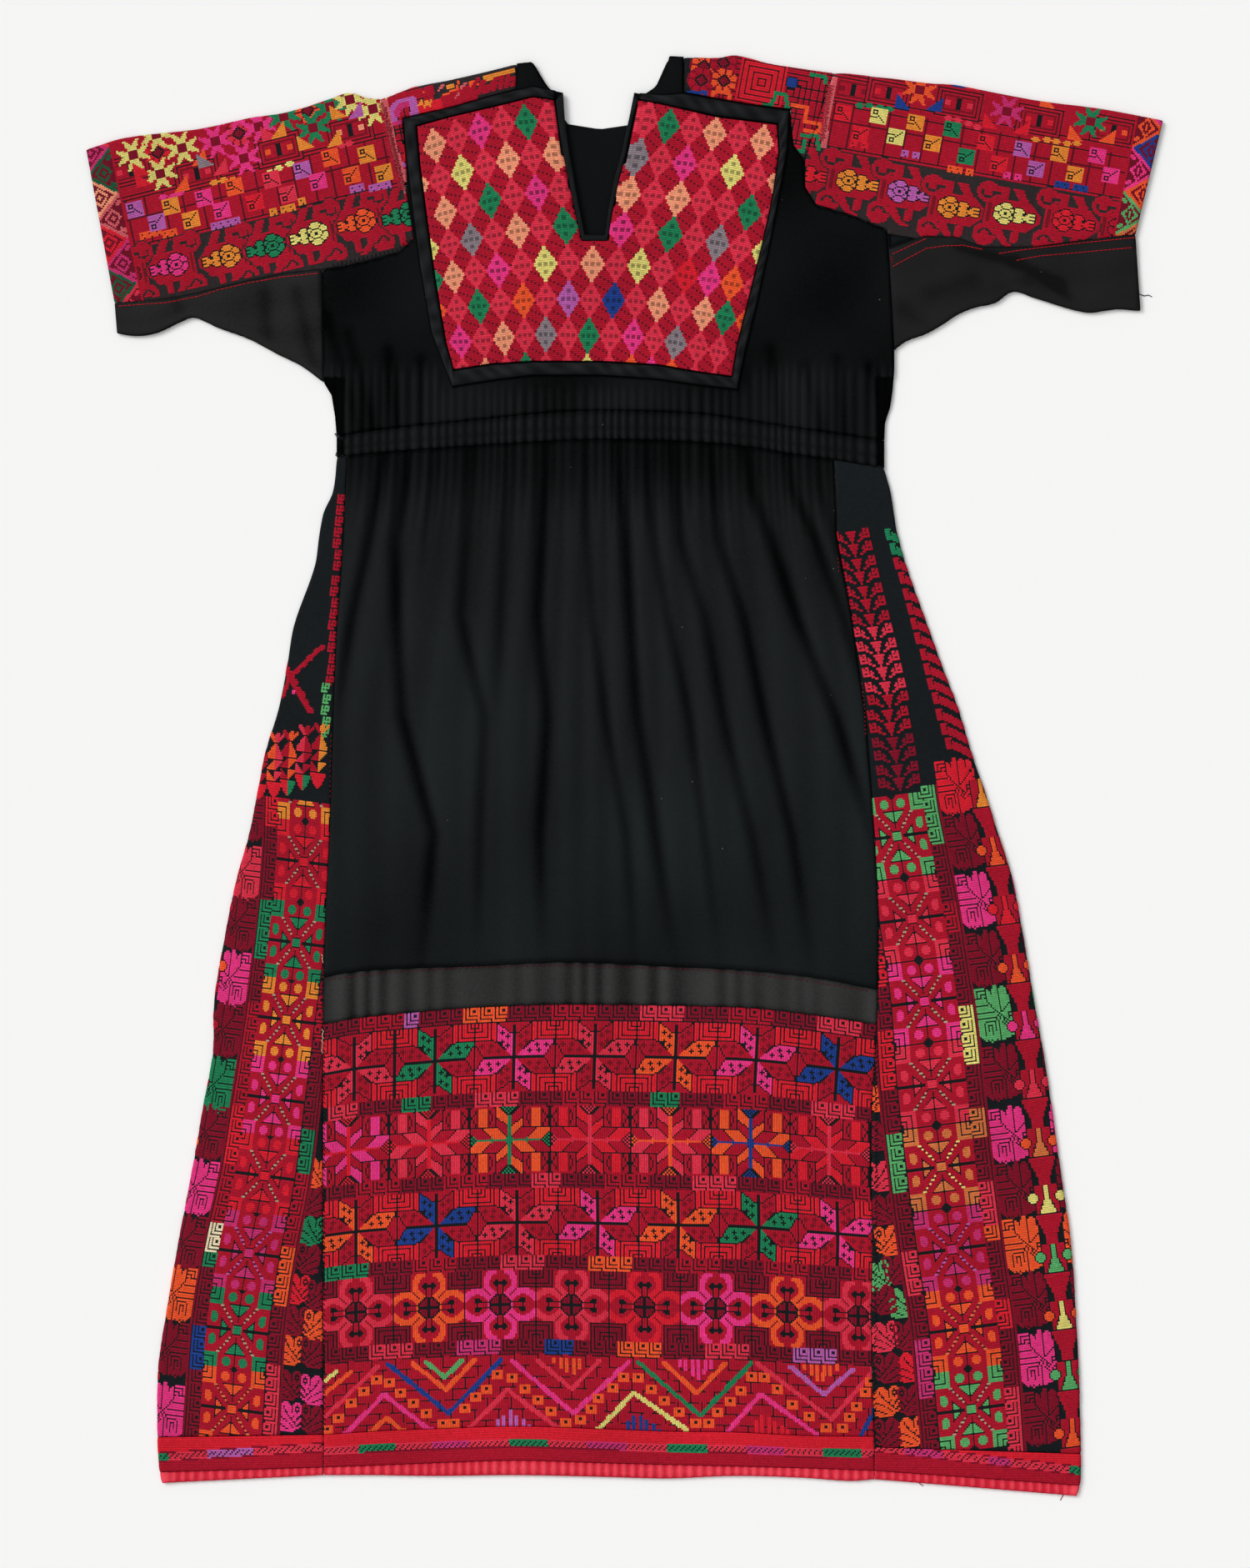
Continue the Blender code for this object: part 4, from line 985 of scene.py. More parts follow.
def vine(accent, wide=30):
    """A spray in its cell, with the spirals and tulips of the vine.

    The stem joins the upper spiral to the lower one. A cell repeats
    every 30 stitches, or nearer on the left sleeve.
    """
    tile, a, b = ground(45, 46, CLEAR)
    u = a * 30 / wide
    lens = (abs(b) < 8.3) & (u > -14)
    lens &= u < 14.6 - 1.05 * np.maximum(abs(b) - 2.5, 0)
    red = lens | ((u > -15) & (u < -11) & (abs(b) < 9))
    red |= np.hypot(u + 15, b + 11.5) < 6
    red |= np.hypot(u + 13.2, b - 13.2) < 6.3
    for rows, middle, half in (
            ((-15.4, -6), (-7.2, -6), 2.7), ((-16, -6), (0.4, 6.6), 2.6),
            ((6, 12, 16, 18.4), (-6.8, -5.4, -2, 2), 2.3),
            ((6, 9, 15.4), (6, 3.4, 2.4), 1.9)):
        red |= ((abs(u - np.interp(b, rows, middle)) < half)
                & (b > rows[0]) & (b < rows[-1]))
    sew(tile, grow(red), "X")
    sew(tile, red, "R")
    for x, y, way in ((-15, -11.5, 1), (-13.2, 13.2, -1)):
        away, rise = np.hypot(u - x, b - y), (b - y) * way
        arc = (abs(away - 3.1) < 0.8) & (rise > -0.8)
        mouth = (abs(away - 4.6) < 2) & (u > x) & (abs(rise) < 0.8)
        sew(tile, arc | mouth, "X")
    sew(tile, (abs(u + 13) < 0.6) & (abs(b) < 6), "r")
    spray = charted(SPRAY, accent)
    if wide < 30:
        spray = np.delete(spray, (14, 19), 1)
    edge = blank(45, 46, CLEAR)
    stamp(edge, spray, 22.5, 23.6)
    sew(tile, grow(edge > 0), "K")
    stamp(tile, edge, 22.5, 23)
    return tile


def seam_line(chart, find, ends, accent, wide=1):
    """Stitch a line of cells from spot to spot."""
    for (x0, y0), (x1, y1) in zip(ends, ends[1:]):
        steps = int(np.hypot(x1 - x0, y1 - y0) / 1.6) + 1
        for share in np.linspace(0, 1, steps):
            row, column = find(x0 + (x1 - x0) * share, y0 + (y1 - y0) * share)
            chart[row:row + wide, column:column + wide] = ord(accent)


def seam_lines(chart, find, text, wide=2):
    """Stitch lines from text: a letter, then the places that it joins."""
    for run in text.split(";"):
        letter, *marks = run.split()
        seam_line(chart, find, pairs(marks), letter, wide)


# Panels --------------------------------------------------------------
RNG = np.random.default_rng(1948)
LEAN = 0.2              # of a cell, how far stitches spread over bare cloth
GROOVE, GROOVE_WIDE = 0.45, 2.2     # mm deep and squares wide, at an edge
POST = 14               # cells between the supports of an underside


def linear(rgb):
    """sRGB from 0 to 255 as linear light."""
    share = np.asarray(rgb, float) / 255
    return np.where(share <= 0.04045, share / 12.92,
                    ((share + 0.055) / 1.055) ** 2.4)


def thread_colours(codes, spots):
    """Thread letters to colours, with uneven dye and patches of wear."""
    look = np.zeros((256, 4))
    for letter, rgb in THREADS.items():
        full = linear(rgb)
        look[ord(letter)] = (*full, 0.0 if letter in GROUNDS else 1.0)
        half = full * 0.45 + linear(THREADS["K"]) * 0.55
        look[ord(letter.lower())] = (*half, 1.0)
    colours = look[codes]
    x, y = spots[:, 0] * 1000, spots[:, 1] * 1000
    slow = 0.07 * np.sin(x / 31 + 2 * np.sin(y / 53)) * np.sin(y / 27 + 1)
    each = RNG.normal(0, 0.07, len(codes)) + slow
    colours[:, :3] *= np.exp(each)[:, None]
    colours[:, 1:3] *= 1 + RNG.normal(0, 0.05, (len(codes), 1))
    return np.clip(colours, 0, 1)


def mesh_of(name, spots, quads, tris, counts, colours, finish):
    """A mesh from arrays: points, faces, stitch counts and threads."""
    mesh = bpy.data.meshes.new(name)
    corners = np.concatenate([quads.ravel(), tris.ravel()]).astype(np.int32)
    sizes = np.r_[np.full(len(quads), 4), np.full(len(tris), 3)]
    starts = np.concatenate([[0], np.cumsum(sizes)[:-1]]).astype(np.int32)
    mesh.vertices.add(len(spots))
    mesh.vertices.foreach_set("co", spots.astype(np.float32).ravel())
    mesh.loops.add(len(corners))
    mesh.loops.foreach_set("vertex_index", corners)
    mesh.polygons.add(len(sizes))
    mesh.polygons.foreach_set("loop_start", starts)
    mesh.polygons.foreach_set("use_smooth", np.ones(len(sizes), bool))
    mesh.update(calc_edges=True)
    if colours is not None:
        thread = mesh.attributes.new("thread", "FLOAT_COLOR", "FACE")
        thread.data.foreach_set("color", colours.astype(np.float32).ravel())
    layer = mesh.uv_layers.new(name="stitches")
    layer.data.foreach_set("uv", counts[corners].astype(np.float32).ravel())
    mesh.validate()
    piece = bpy.data.objects.new(name, mesh)
    bpy.context.scene.collection.objects.link(piece)
    mesh.materials.append(finish)
    return piece


def grid_points(grids, used):
    """The same corners of several grids, each as a row."""
    return [grid.ravel()[used] for grid in grids]


def leaning(x, y, mask):
    """Corners moved toward bare cells, and how stitched each one is."""
    wide = np.pad(mask, 1, mode="edge")
    nw, ne, sw, se = wide[:-1, :-1], wide[:-1, 1:], wide[1:, :-1], wide[1:, 1:]
    slope_a, slope_b = (ne + se - nw - sw) / 2, (sw + se - nw - ne) / 2
    moved = [corner - LEAN * (slope_a * np.gradient(corner, axis=1)
                              + slope_b * np.gradient(corner, axis=0))
             for corner in (x, y)]
    return (*moved, (nw + ne + sw + se) / 4)


def fitted(x, y, step, ring):
    """A lattice against its outline, or its own edge if it has none.

    Gives each corner's distance in and its nearest place on the
    outline, and which corners are on it, outside it and well inside.
    """
    if ring is None:
        i, j = np.indices(x.shape)
        edge = np.minimum(np.minimum(i, i[::-1]), np.minimum(j, j[:, ::-1]))
        return edge * step, x, y, edge == 0, edge < 0, edge >= 0
    distance, on_x, on_y = to_ring(x, y, ring)
    reach = step * 0.5
    return (np.maximum(distance, 0), on_x, on_y, abs(distance) <= reach,
            distance < -reach, distance > reach)


def kept_cells(codes, out, deep):
    """Whole cells, and as triangles those with one corner outside.

    The threads of both follow.
    """
    index = np.arange(out.size).reshape(out.shape)
    cells = np.stack([index[:-1, :-1], index[1:, :-1],
                      index[1:, 1:], index[:-1, 1:]], -1)
    outs = out.ravel()[cells]
    some = deep.ravel()[cells].any(-1)
    whole, clipped = ((outs.sum(-1) == many) & some for many in (0, 1))
    corners = [clipped & outs[..., k] for k in range(4)]
    tris = [cells[only][:, [(k + 1) % 4, (k + 2) % 4, (k + 3) % 4]]
            for k, only in enumerate(corners)]
    return (cells[whole], np.concatenate(tris), codes[whole],
            np.concatenate([codes[only] for only in corners]))


def face_up(x, y, quads, tris):
    """Turn the faces over where the draft runs the other way round."""
    a, b, c = quads[:, :3].T
    area = ((x[b] - x[a]) * (y[a] - y[c])
            - (x[c] - x[a]) * (y[a] - y[b])).sum()
    return (quads[:, ::-1], tris[:, ::-1]) if area < 0 else (quads, tris)


def rim_of(quads, tris, total):
    """The edges that only one face has."""
    edges = np.concatenate(
        [quads[:, [k, (k + 1) % 4]] for k in range(4)]
        + [tris[:, [k, (k + 1) % 3]] for k in range(3)])
    key = edges.min(1) * total + edges.max(1)
    _, where, times = np.unique(key, return_index=True, return_counts=True)
    return edges[where[times == 1]]


def posts(rim, i, j, inside, close, along):
    """Corners that hold a coarse underside up, clear of its rim."""
    chosen = (i % POST == 0) & (j % POST == 0)
    chosen |= close & (along % (POST // 2) == 0)
    chosen &= inside
    chosen[rim] = False
    return np.flatnonzero(chosen)


def netted(x, y, rim, held, counts):
    """A coarse underside: triangles between the rim and the posts.

    Gives its places and counts, its triangles, and the point under
    each end of the rim's edges, or -1 where there is none.
    """
    chosen = np.concatenate([np.unique(rim), held])
    local = np.full(len(x), -1)
    local[chosen] = np.arange(len(chosen))
    spots, _, tris, origins, _, _ = delaunay_2d_cdt(
        np.stack([x[chosen], -y[chosen]], 1).tolist(),
        local[rim].tolist(), [], 1, 1e-7)
    owner = np.repeat(np.arange(len(origins)), [len(o) for o in origins])
    origin = np.array([k for o in origins for k in o])
    source = np.full(len(origins), -1)
    source[owner] = origin
    count = np.where((source >= 0)[:, None],
                     counts[chosen[np.maximum(source, 0)]], 0)
    under = np.full(len(chosen), -1)
    under[origin] = owner
    spots = np.array([tuple(spot) for spot in spots])
    return (spots * (1, -1), count, np.array(tris)[:, ::-1],
            under[local[rim]])


def cut(name, x, y, shape, finish, chart=None, ring=None, wall=0.8,
        base=-0.35, rise=0.4, doubled=False, zone=None, turned=False):
    """One closed thin piece of cloth from a lattice of corners.

    Corners within half a cell of the outline move onto it, and cells
    beyond it are left out. Corners beside bare cells move toward them,
    so stitches stand wider than the ground between them. The face is
    lifted where it is stitched and dips at its edges. The inside is
    a wall lower, and joined to the face round the edge: the same
    lattice where the cloth is doubled, otherwise a coarse one, finer
    in the zone that goes round a fold.
    """
    codes = blank(x.shape[0] - 1, x.shape[1] - 1) if chart is None else chart
    mask = (~np.isin(codes, list(GROUNDS.encode()))).astype(float)
    new_x, new_y, lifted = leaning(x, y, mask)
    step = np.hypot(np.gradient(x, axis=1), np.gradient(y, axis=1)).mean()
    distance, on_x, on_y, on, out, deep = fitted(x, y, step, ring)
    new_x, new_y = np.where(on, on_x, new_x), np.where(on, on_y, new_y)
    quads, tris, quad_codes, tri_codes = kept_cells(codes, out, deep)
    quads, tris = face_up(new_x.ravel(), new_y.ravel(), quads, tris)
    used = np.unique(np.concatenate([quads.ravel(), tris.ravel()]))
    total = len(used)
    renumber = np.full(x.size, -1)
    renumber[used] = np.arange(total)
    quads, tris = renumber[quads], renumber[tris]
    x, y, depth, lifted, i, j = grid_points(
        (new_x, new_y, distance, lifted, *np.indices(x.shape)), used)
    counts = np.stack([i, j] if turned else [j, i], 1).astype(float)
    groove = GROOVE * np.exp(-(depth / GROOVE_WIDE) ** 2)
    outer = shape(x, y, base + rise * lifted - groove)
    rim = rim_of(quads, tris, total)
    if doubled:
        inner, under_counts = shape(x, y, base - wall), counts
        under_quads, under_tris, below = quads[:, ::-1], tris[:, ::-1], rim
    else:
        close, along = zone(x, y, i, j) if zone else (i < 0, i)
        held = posts(rim, i, j, depth > 2.5 * step, close, along)
        lower, under_counts, under_tris, below = netted(x, y, rim, held,
                                                        counts)
        inner = shape(*lower.T, base - wall)
        under_quads = np.zeros((0, 4), int)
        there = (below >= 0).all(1)
        rim, below = rim[there], below[there]
    sides = np.concatenate([rim[:, ::-1], below + total], 1)
    pinched = below[:, 0] == below[:, 1]
    quads = np.concatenate([quads, sides[~pinched], under_quads + total])
    tris = np.concatenate([tris, under_tris + total, sides[pinched][:, :3]])
    spots = np.concatenate([outer, inner])
    colours = None
    if chart is not None:
        codes = [np.r_[worked, np.full(len(faces) - len(worked), ord("K"))]
                 for worked, faces in ((quad_codes, quads),
                                       (tri_codes, tris))]
        colours = thread_colours(
            np.concatenate(codes).astype(int),
            np.concatenate([spots[quads].mean(1), spots[tris].mean(1)]))
    return mesh_of(name, spots, quads, tris,
                   np.concatenate([counts, under_counts]), colours, finish)


def sewn_in(piece, stands_for, slot, size=None,
            area=None):
    """Attach a piece to the root, and hide the part that it stands for."""
    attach(piece, "root")
    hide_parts(stands_for)


def lay(stands_for, name, slot, size, lattice, shape, finish, chart=None,
        held="laid", on=(), area=None, **how):
    """Cut one sheet and sew it in."""
    piece = cut(name, *lattice, shape, finish, chart, **how)
    sewn_in(piece, stands_for, slot, size, area)


# Finishes ------------------------------------------------------------
def math_node(operation):
    """A method of Wire that adds one Math node."""
    return lambda self, *others: self.math(operation, *others)


class Wire:
    """A shader value. Sums written with it become Math nodes."""

    __add__, __sub__ = math_node("ADD"), math_node("SUBTRACT")
    __mul__, __truediv__ = math_node("MULTIPLY"), math_node("DIVIDE")
    __pow__, __abs__ = math_node("POWER"), math_node("ABSOLUTE")
    at_least, scaled = math_node("MAXIMUM"), math_node("MULTIPLY_ADD")

    def __init__(self, socket):
        self.socket, self.tree = socket, socket.id_data

    def math(self, operation, *others, first=None):
        """A Math node of this value and others, or of first and this."""
        values = (self, *others) if first is None else (first, self)
        return Wire(node(self.tree, "Math", dict(enumerate(values)),
                         operation=operation).outputs[0])

    def __rsub__(self, other):
        return self.math("SUBTRACT", first=other)

    def sine(self, rate):
        """The sine of this value times a rate."""
        return (self * rate).math("SINE")

    def fill(self, socket):
        """Wire this value to an input."""
        self.tree.links.new(self.socket, socket)


def node(tree, kind, wires=None, **settings):
    """Add a shader node, set it, and wire or fill its inputs."""
    made = tree.nodes.new("ShaderNode" + kind)
    for key, value in settings.items():
        setattr(made, key, value)
    for socket, value in (wires or {}).items():
        if isinstance(value, Wire):
            value.fill(made.inputs[socket])
        else:
            made.inputs[socket].default_value = value
    return made


def wire(tree, kind, wires=None, out=0, **settings):
    """Add a shader node and take one of its outputs."""
    return Wire(node(tree, kind, wires, **settings).outputs[out])


def mixed(share, first, second, kind="MIX"):
    """Mix two colours by a share."""
    return wire(first.tree, "Mix", {0: share, 6: first, 7: second}, 2,
                data_type="RGBA", blend_type=kind)


def dimmed(colour, level):
    """A colour times a grey level."""
    grey = wire(colour.tree, "CombineColor", {0: level, 1: level, 2: level})
    return mixed(1.0, colour, grey, "MULTIPLY")


def apart(value):
    """The three parts of a vector."""
    return [Wire(part) for part in
            node(value.tree, "SeparateXYZ", {0: value}).outputs]


def noise(where, scale, detail):
    """Cloudy noise of a scale in waves a metre."""
    return wire(where.tree, "TexNoise", {"Vector": where, "Scale": scale,
                                         "Detail": detail})


def group(name, inputs, outputs):
    """An empty node group with named sockets."""
    tree = bpy.data.node_groups.new(name, "ShaderNodeTree")
    for way, sockets in (("INPUT", inputs), ("OUTPUT", outputs)):
        for label, kind in sockets.items():
            tree.interface.new_socket(label, in_out=way,
                                      socket_type="NodeSocket" + kind)
    given = tree.nodes.new("NodeGroupInput").outputs
    return (tree, [Wire(given[label]) for label in inputs],
            tree.nodes.new("NodeGroupOutput").inputs)


def stitch_group():
    """Two crossed strands in each cell of the stitch count.

    A strand's height is a half circle across its own diagonal. The
    last strand lies over the first, and rows part at their edges.
    """
    tree, (count, thread, stitched), out = group(
        "Crossed strands",
        {"Count": "Vector", "Thread": "Color", "Stitched": "Float"},
        {"Color": "Color", "Height": "Float"})
    u, v = [part.math("FRACT") for part in apart(count)[:2]]
    over, under = abs(u - v), abs(u + v - 1.0)
    strands = [(1.0 - (away / 0.5) ** 2.0).at_least(0.0).math("SQRT") * high
               for away, high in ((over, 1.0), (under, 0.7))]
    cover = strands[0].at_least(strands[1])
    row = (v * 4.0 * (1.0 - v)).at_least(0.0) ** 0.7
    both = cover * row
    # Where the strands are low the colour is darker, partly for the black
    # ground showing between them and partly as painted shade; their tops get a
    # painted highlight.
    level = both.scaled(0.95, 0.36)
    twist = u.scaled(3.0, v).sine(19.0)
    sewn = dimmed(thread, level + twist * 0.05)
    web = u.sine(18.85) * v.sine(18.85)
    bare = dimmed(thread, web.scaled(0.45, 1.3))
    mixed(stitched, bare, sewn).fill(out["Color"])
    height = both * stitched + (1.0 - stitched) * (web * 0.12)
    height.fill(out["Height"])
    return tree


def weave_group():
    """Plain weave, slow fading, specks of lint, and painted light on the
    crowns of folds.
    """
    tree, (dark, faded_and_lit, lint, painted_light), out = group(
        "Plain weave",
        {"Dark": "Color", "Faded and lit": "Color", "Lint": "Float",
         "Painted light": "Float"},
        {"Color": "Color", "Height": "Float"})
    where = wire(tree, "TexCoord", out="Object")
    x, y, _ = apart(where)
    web = x.sine(9000.0) * y.sine(9000.0)
    slow, fine = noise(where, 7.0, 5.0), noise(where, 420.0, 2.0)
    share = slow.scaled(0.9, -0.45)
    share = share + fine.scaled(0.5, -0.25)
    # The share from the crowns is painted light and shade: it lightens the
    # colour on high folds and leaves low folds dark.
    share = (share + web * 0.1 + painted_light).at_least(0.0).math("MINIMUM", 1.0)
    colour = mixed(share, dark, faded_and_lit)
    speck = wire(tree, "TexVoronoi", {"Vector": where, "Scale": 95.0},
                 feature="F1")
    chance = noise(where, 31.0, 1.0)
    speck = (speck.math("LESS_THAN", 0.045)
             * chance.math("GREATER_THAN", 0.62) * lint)
    mixed(speck, colour, LINT).fill(out["Color"])
    (web + fine * 0.8).fill(out["Height"])
    return tree


LINT = (0.25, 0.24, 0.22, 1)
THREAD_SHADE = (0.004, 0.003, 0.004, 1)
STITCHES, WEAVE = stitch_group(), weave_group()


def finish_of(name, rough, specular=0.3):
    """A new material with its plain surface values."""
    made = bpy.data.materials.new(name)
    made.use_nodes = True
    shader = made.node_tree.nodes["Principled BSDF"]
    shader.inputs["Roughness"].default_value = rough
    shader.inputs["Specular IOR Level"].default_value = specular
    return made, made.node_tree, shader.inputs


def bumped(inputs, height, depth):
    """Turn a height into the surface's slope."""
    wire(height.tree, "Bump", {"Height": height, "Strength": 0.6,
                               "Distance": depth}).fill(inputs["Normal"])


def cotton(name, dark, faded_and_lit, lint, rough=0.85, specular=0.1, span=None,
           crown_ramp=None):
    """Plain woven cotton, with painted shade in its low folds and a painted
    lighter colour and more specular on their crowns.

    span gives the heights of the deepest folds and the highest crowns, between
    which the painted light rises; the last argument scales it from its first
    value at the waist to its second at the hem.
    """
    made, tree, inputs = finish_of(name, rough, specular)
    web = node(tree, "Group", {"Dark": (*dark, 1), "Faded and lit": (*faded_and_lit, 1),
                               "Lint": lint, "Painted light": 0.5}, node_tree=WEAVE)
    if span is not None:
        _, y, z = apart(wire(tree, "TexCoord", out="Object"))
        # Painted shade and highlight: a share from 0 in the lowest folds to 1
        # on the highest crowns, which darkens or lightens the colour and
        # lowers the specular in the folds.
        painted_light = wire(tree, "MapRange", {0: z, 1: span[0] / 1000,
                                        2: span[1] / 1000})
        wire(tree, "MapRange", {0: painted_light, 3: specular * 0.15, 4: specular}
             ).fill(inputs["Specular IOR Level"])
        # The painted light is scaled along the dress, between the waist and
        # the hem.
        if crown_ramp is not None:
            painted_light = painted_light * wire(tree, "MapRange", {
                0: y, 1: RAMP_FROM, 2: RAMP_TO, 3: crown_ramp[0], 4: crown_ramp[1]})
        painted_light.fill(web.inputs["Painted light"])
    Wire(web.outputs["Color"]).fill(inputs["Base Color"])
    bumped(inputs, Wire(web.outputs["Height"]), 0.00008)
    return made


def stitched_cloth():
    """Cloth covered in crossed stitches, each in its own thread."""
    made, tree, inputs = finish_of("Cross stitch on black cotton", 0.62, 0.06)
    cross = node(tree, "Group", node_tree=STITCHES)
    thread = node(tree, "Attribute", attribute_name="thread").outputs
    count = wire(tree, "UVMap", uv_map="stitches")
    for value, label in ((count, "Count"), (Wire(thread["Color"]), "Thread"),
                         (Wire(thread["Alpha"]), "Stitched")):
        value.fill(cross.inputs[label])
    Wire(cross.outputs["Color"]).fill(inputs["Base Color"])
    bumped(inputs, Wire(cross.outputs["Height"]), 0.0004)
    return made


def sewing_thread():
    """Twisted thread, each stitch in its own colour."""
    made, tree, inputs = finish_of("Sewing thread", 0.65, 0.1)
    thread = wire(tree, "Attribute", attribute_name="thread")
    twist = noise(wire(tree, "TexCoord", out="Object"), 1400.0, 2.0)
    mixed(twist * 0.5, thread, THREAD_SHADE).fill(inputs["Base Color"])
    bumped(inputs, twist, 0.0002)
    return made


# The painted light on the crowns of the skirt's cotton is ramped between these
# places up the dress.
RAMP_FROM, RAMP_TO = 0.29, -0.17    # m up the dress: the waist, the hem
# Where span is given, a cotton's colour and specular carry painted shade and
# highlight: darker in its low folds, lighter on its crowns; on the satin this
# is a painted sheen along the arches of the bindings.
BLACK = cotton("Black cotton", (0.0003, 0.0004, 0.0005),
               (0.0050, 0.0059, 0.0064), 0.5, rough=0.6, specular=0.09,
               span=(FRONT - 0.5, FRONT + 0.9))
BACKING = cotton("Black cotton of the back", (0.0010, 0.0018, 0.0020),
                 (0.0036, 0.0048, 0.0052), 0.3, rough=0.7, specular=0.06)
WASHED = cotton("Washed black cotton", (0.0006, 0.0008, 0.0009),
                (0.0080, 0.0110, 0.0119), 0.5, rough=0.6, specular=0.11,
                span=(FRONT - 0.5, FRONT + 2.1), crown_ramp=(0.34, 1.0))
FADED = cotton("Faded black cotton", (0.0030, 0.0030, 0.0032),
               (0.0215, 0.0208, 0.0210), 0.25, rough=0.7, specular=0.08,
               span=(FRONT - 1.1, FRONT + 0.7))
RIGHT_FADED = cotton("Faded black cotton, right", (0.0066, 0.0064, 0.0067),
                     (0.0140, 0.0135, 0.0140), 0.25, rough=0.7,
                     specular=0.08, span=(FRONT - 1.1, FRONT + 0.7))
SUNNED = cotton("Sun-faded black cotton", (0.0085, 0.0084, 0.0083),
                (0.044, 0.0432, 0.0425), 0.25, rough=0.75, specular=0.08,
                span=(FRONT - 0.2, FRONT + 1.1))
SATIN = cotton("Black satin", (0.0004, 0.0006, 0.0008),
               (0.0052, 0.0060, 0.0074), 0.1, rough=0.34, specular=0.15,
               span=(6.1, 7.0))
CORAL = cotton("Coral cotton", tuple(linear((196, 34, 54))),
               tuple(linear((252, 84, 98))), 0.05,
               span=(FRONT - 1.1, FRONT + 0.3))
STITCHED, THREAD = stitched_cloth(), sewing_thread()


# The pieces ----------------------------------------------------------
def long_line(first, column, *last):
    """A line down the dress: a place, a column of SIDES, more places."""
    return [first, *((row[0], row[column]) for row in SIDES), *last]


LEFT_SEAM = long_line((548, 417), 2, (1720, 389), (1800, 389))
RIGHT_SEAM = long_line((552, 1000.3), 3, (1735, 1049), (1800, 1049))
LEFT_FOLD = long_line((548, WAIST_LEFT), 1, (1723, 189), (1765, 191.5),
                      (1778.5, 194))
RIGHT_FOLD = long_line((562, WAIST_RIGHT), 4, (1743, 1297), (1781, 1296),
                       (1794, 1292.5))


def line(table, column):
    """A line across or along the dress, as a function."""
    return lambda at: curve(table, at, column)


waist_high, waist_low = line(WAIST, 1), line(WAIST, 2)
strip_high, strip_low = line(STRIP, 1), line(STRIP, 2)
band_high, band_low, edge_low = line(HEM, 1), line(HEM, 2), line(HEM, 3)


def body(upper, lower, columns, rows, packed=1.0):
    """A lattice between the long seams and two lines across."""
    v = np.linspace(0, 1, rows + 1)[:, None] ** packed
    u = np.linspace(0, 1, columns + 1)[None, :]
    ends = []
    for seam, inward in ((LEFT_SEAM, HALF), (RIGHT_SEAM, -HALF)):
        x = np.full_like(v, seam[3][1])
        for _ in range(8):
            x = read(seam, upper(x) + v * (lower(x) - upper(x)))
        ends.append(x + inward)
    x = ends[0] + (ends[1] - ends[0]) * u
    y = upper(x) + HALF + v * (lower(x) - upper(x) - 2 * HALF)
    return x, y


def squares(box, wide, high=None):
    """A lattice of upright cells over a box: left, top, right, bottom."""
    high = high or wide
    left, top, right, bottom = box
    x = np.arange(left - wide, right + 2 * wide, wide)
    y = np.arange(top - high, bottom + 2 * high, high)
    return tuple(np.meshgrid(x, y))


def box_of(ring):
    """The box round an outline."""
    return (*ring.min(0), *ring.max(0))


def waist_lattice(columns, rows):
    """A lattice over the casing."""
    x = np.linspace(WAIST_LEFT + HALF, WAIST_RIGHT - HALF, columns + 1)
    v = np.linspace(0, 1, rows + 1)[:, None]
    high, low = waist_high(x), waist_low(x)
    return x + 0 * v, high + HALF + v * (low - high - 2 * HALF)


def back_cloth(name, lattice, size, area=None, ring=None):
    """A plain piece of the back."""
    lay(name, name + "_cloth", "black_cotton", size, lattice, flat(back_top),
        BACKING, area=area, ring=ring, base=-0.1, wall=0.9)


def plain_pieces():
    """Bodice, waist, skirt, joining strip and the parts of the back."""
    slit = [(row[2], row[3]) for row in SLIT]
    xs = np.linspace(WAIST_LEFT, WAIST_RIGHT, 181)
    waist = list(zip(xs, waist_high(xs)))
    right = ([(821, 69)] + [row[2:] for row in RIGHT_SHOULDER]
             + [row[2:] for row in RIGHT_SLEEVE[1:6]]
             + [(1073, 421)] + RIGHT_SIDE)
    left = (LEFT_SIDE + [(389, 460), (386, 324)]
            + [row[2:] for row in LEFT_SLEEVE[6:]]
            + [row[2:] for row in LEFT_SHOULDER[-2::-1]])
    front = drawn_in(LEFT_NECK + slit + RIGHT_NECK + right + waist[::-1]
                     + left, HALF)
    y = np.r_[np.arange(60, 124, 2.9), np.arange(124, 420, 5.5),
              np.arange(420, 536, 3.2)]
    x, y = np.meshgrid(np.arange(380, 1080, 3.1), y)
    bodice = cut("bodice_front_cloth", x, y, flat(bodice_top), BLACK,
                 ring=front, base=0, wall=0.9, doubled=True)
    back = drawn_in(LEFT_NECK[:2] + BACK_NECK + RIGHT_NECK[-1:] + right
                    + waist[::-12] + left, HALF)
    back_cloth("bodice_back", squares(box_of(back), 7), (0.51, 0.34), 0.121,
               back)
    lay("waist_front", "waist_casing", "black_cotton", (0.56, 0.025),
        waist_lattice(360, 12), flat(waist_top), BLACK, held="gathered",
        on=["waist_back"], base=0, doubled=True)
    back_cloth("waist_back", waist_lattice(60, 3), (0.478, 0.025))
    lay("skirt_front", "skirt_front_cloth", "black_cotton", (0.55, 0.46),
        body(waist_low, strip_high, 204, 84), flat(skirt_top), WASHED,
        held="gathered", on=["skirt_back"], area=0.2265, base=0, wall=0.9,
        doubled=True)
    lay("skirt_strip", "joining_strip", "faded_cotton", (0.485, 0.038),
        body(strip_high, strip_low, 260, 12), flat(strip_top), SUNNED,
        on=["skirt_back"], base=0, doubled=True)
    back_cloth("skirt_back", body(waist_low, strip_low, 60, 60),
               (0.47, 0.49), 0.2265)
    return bodice


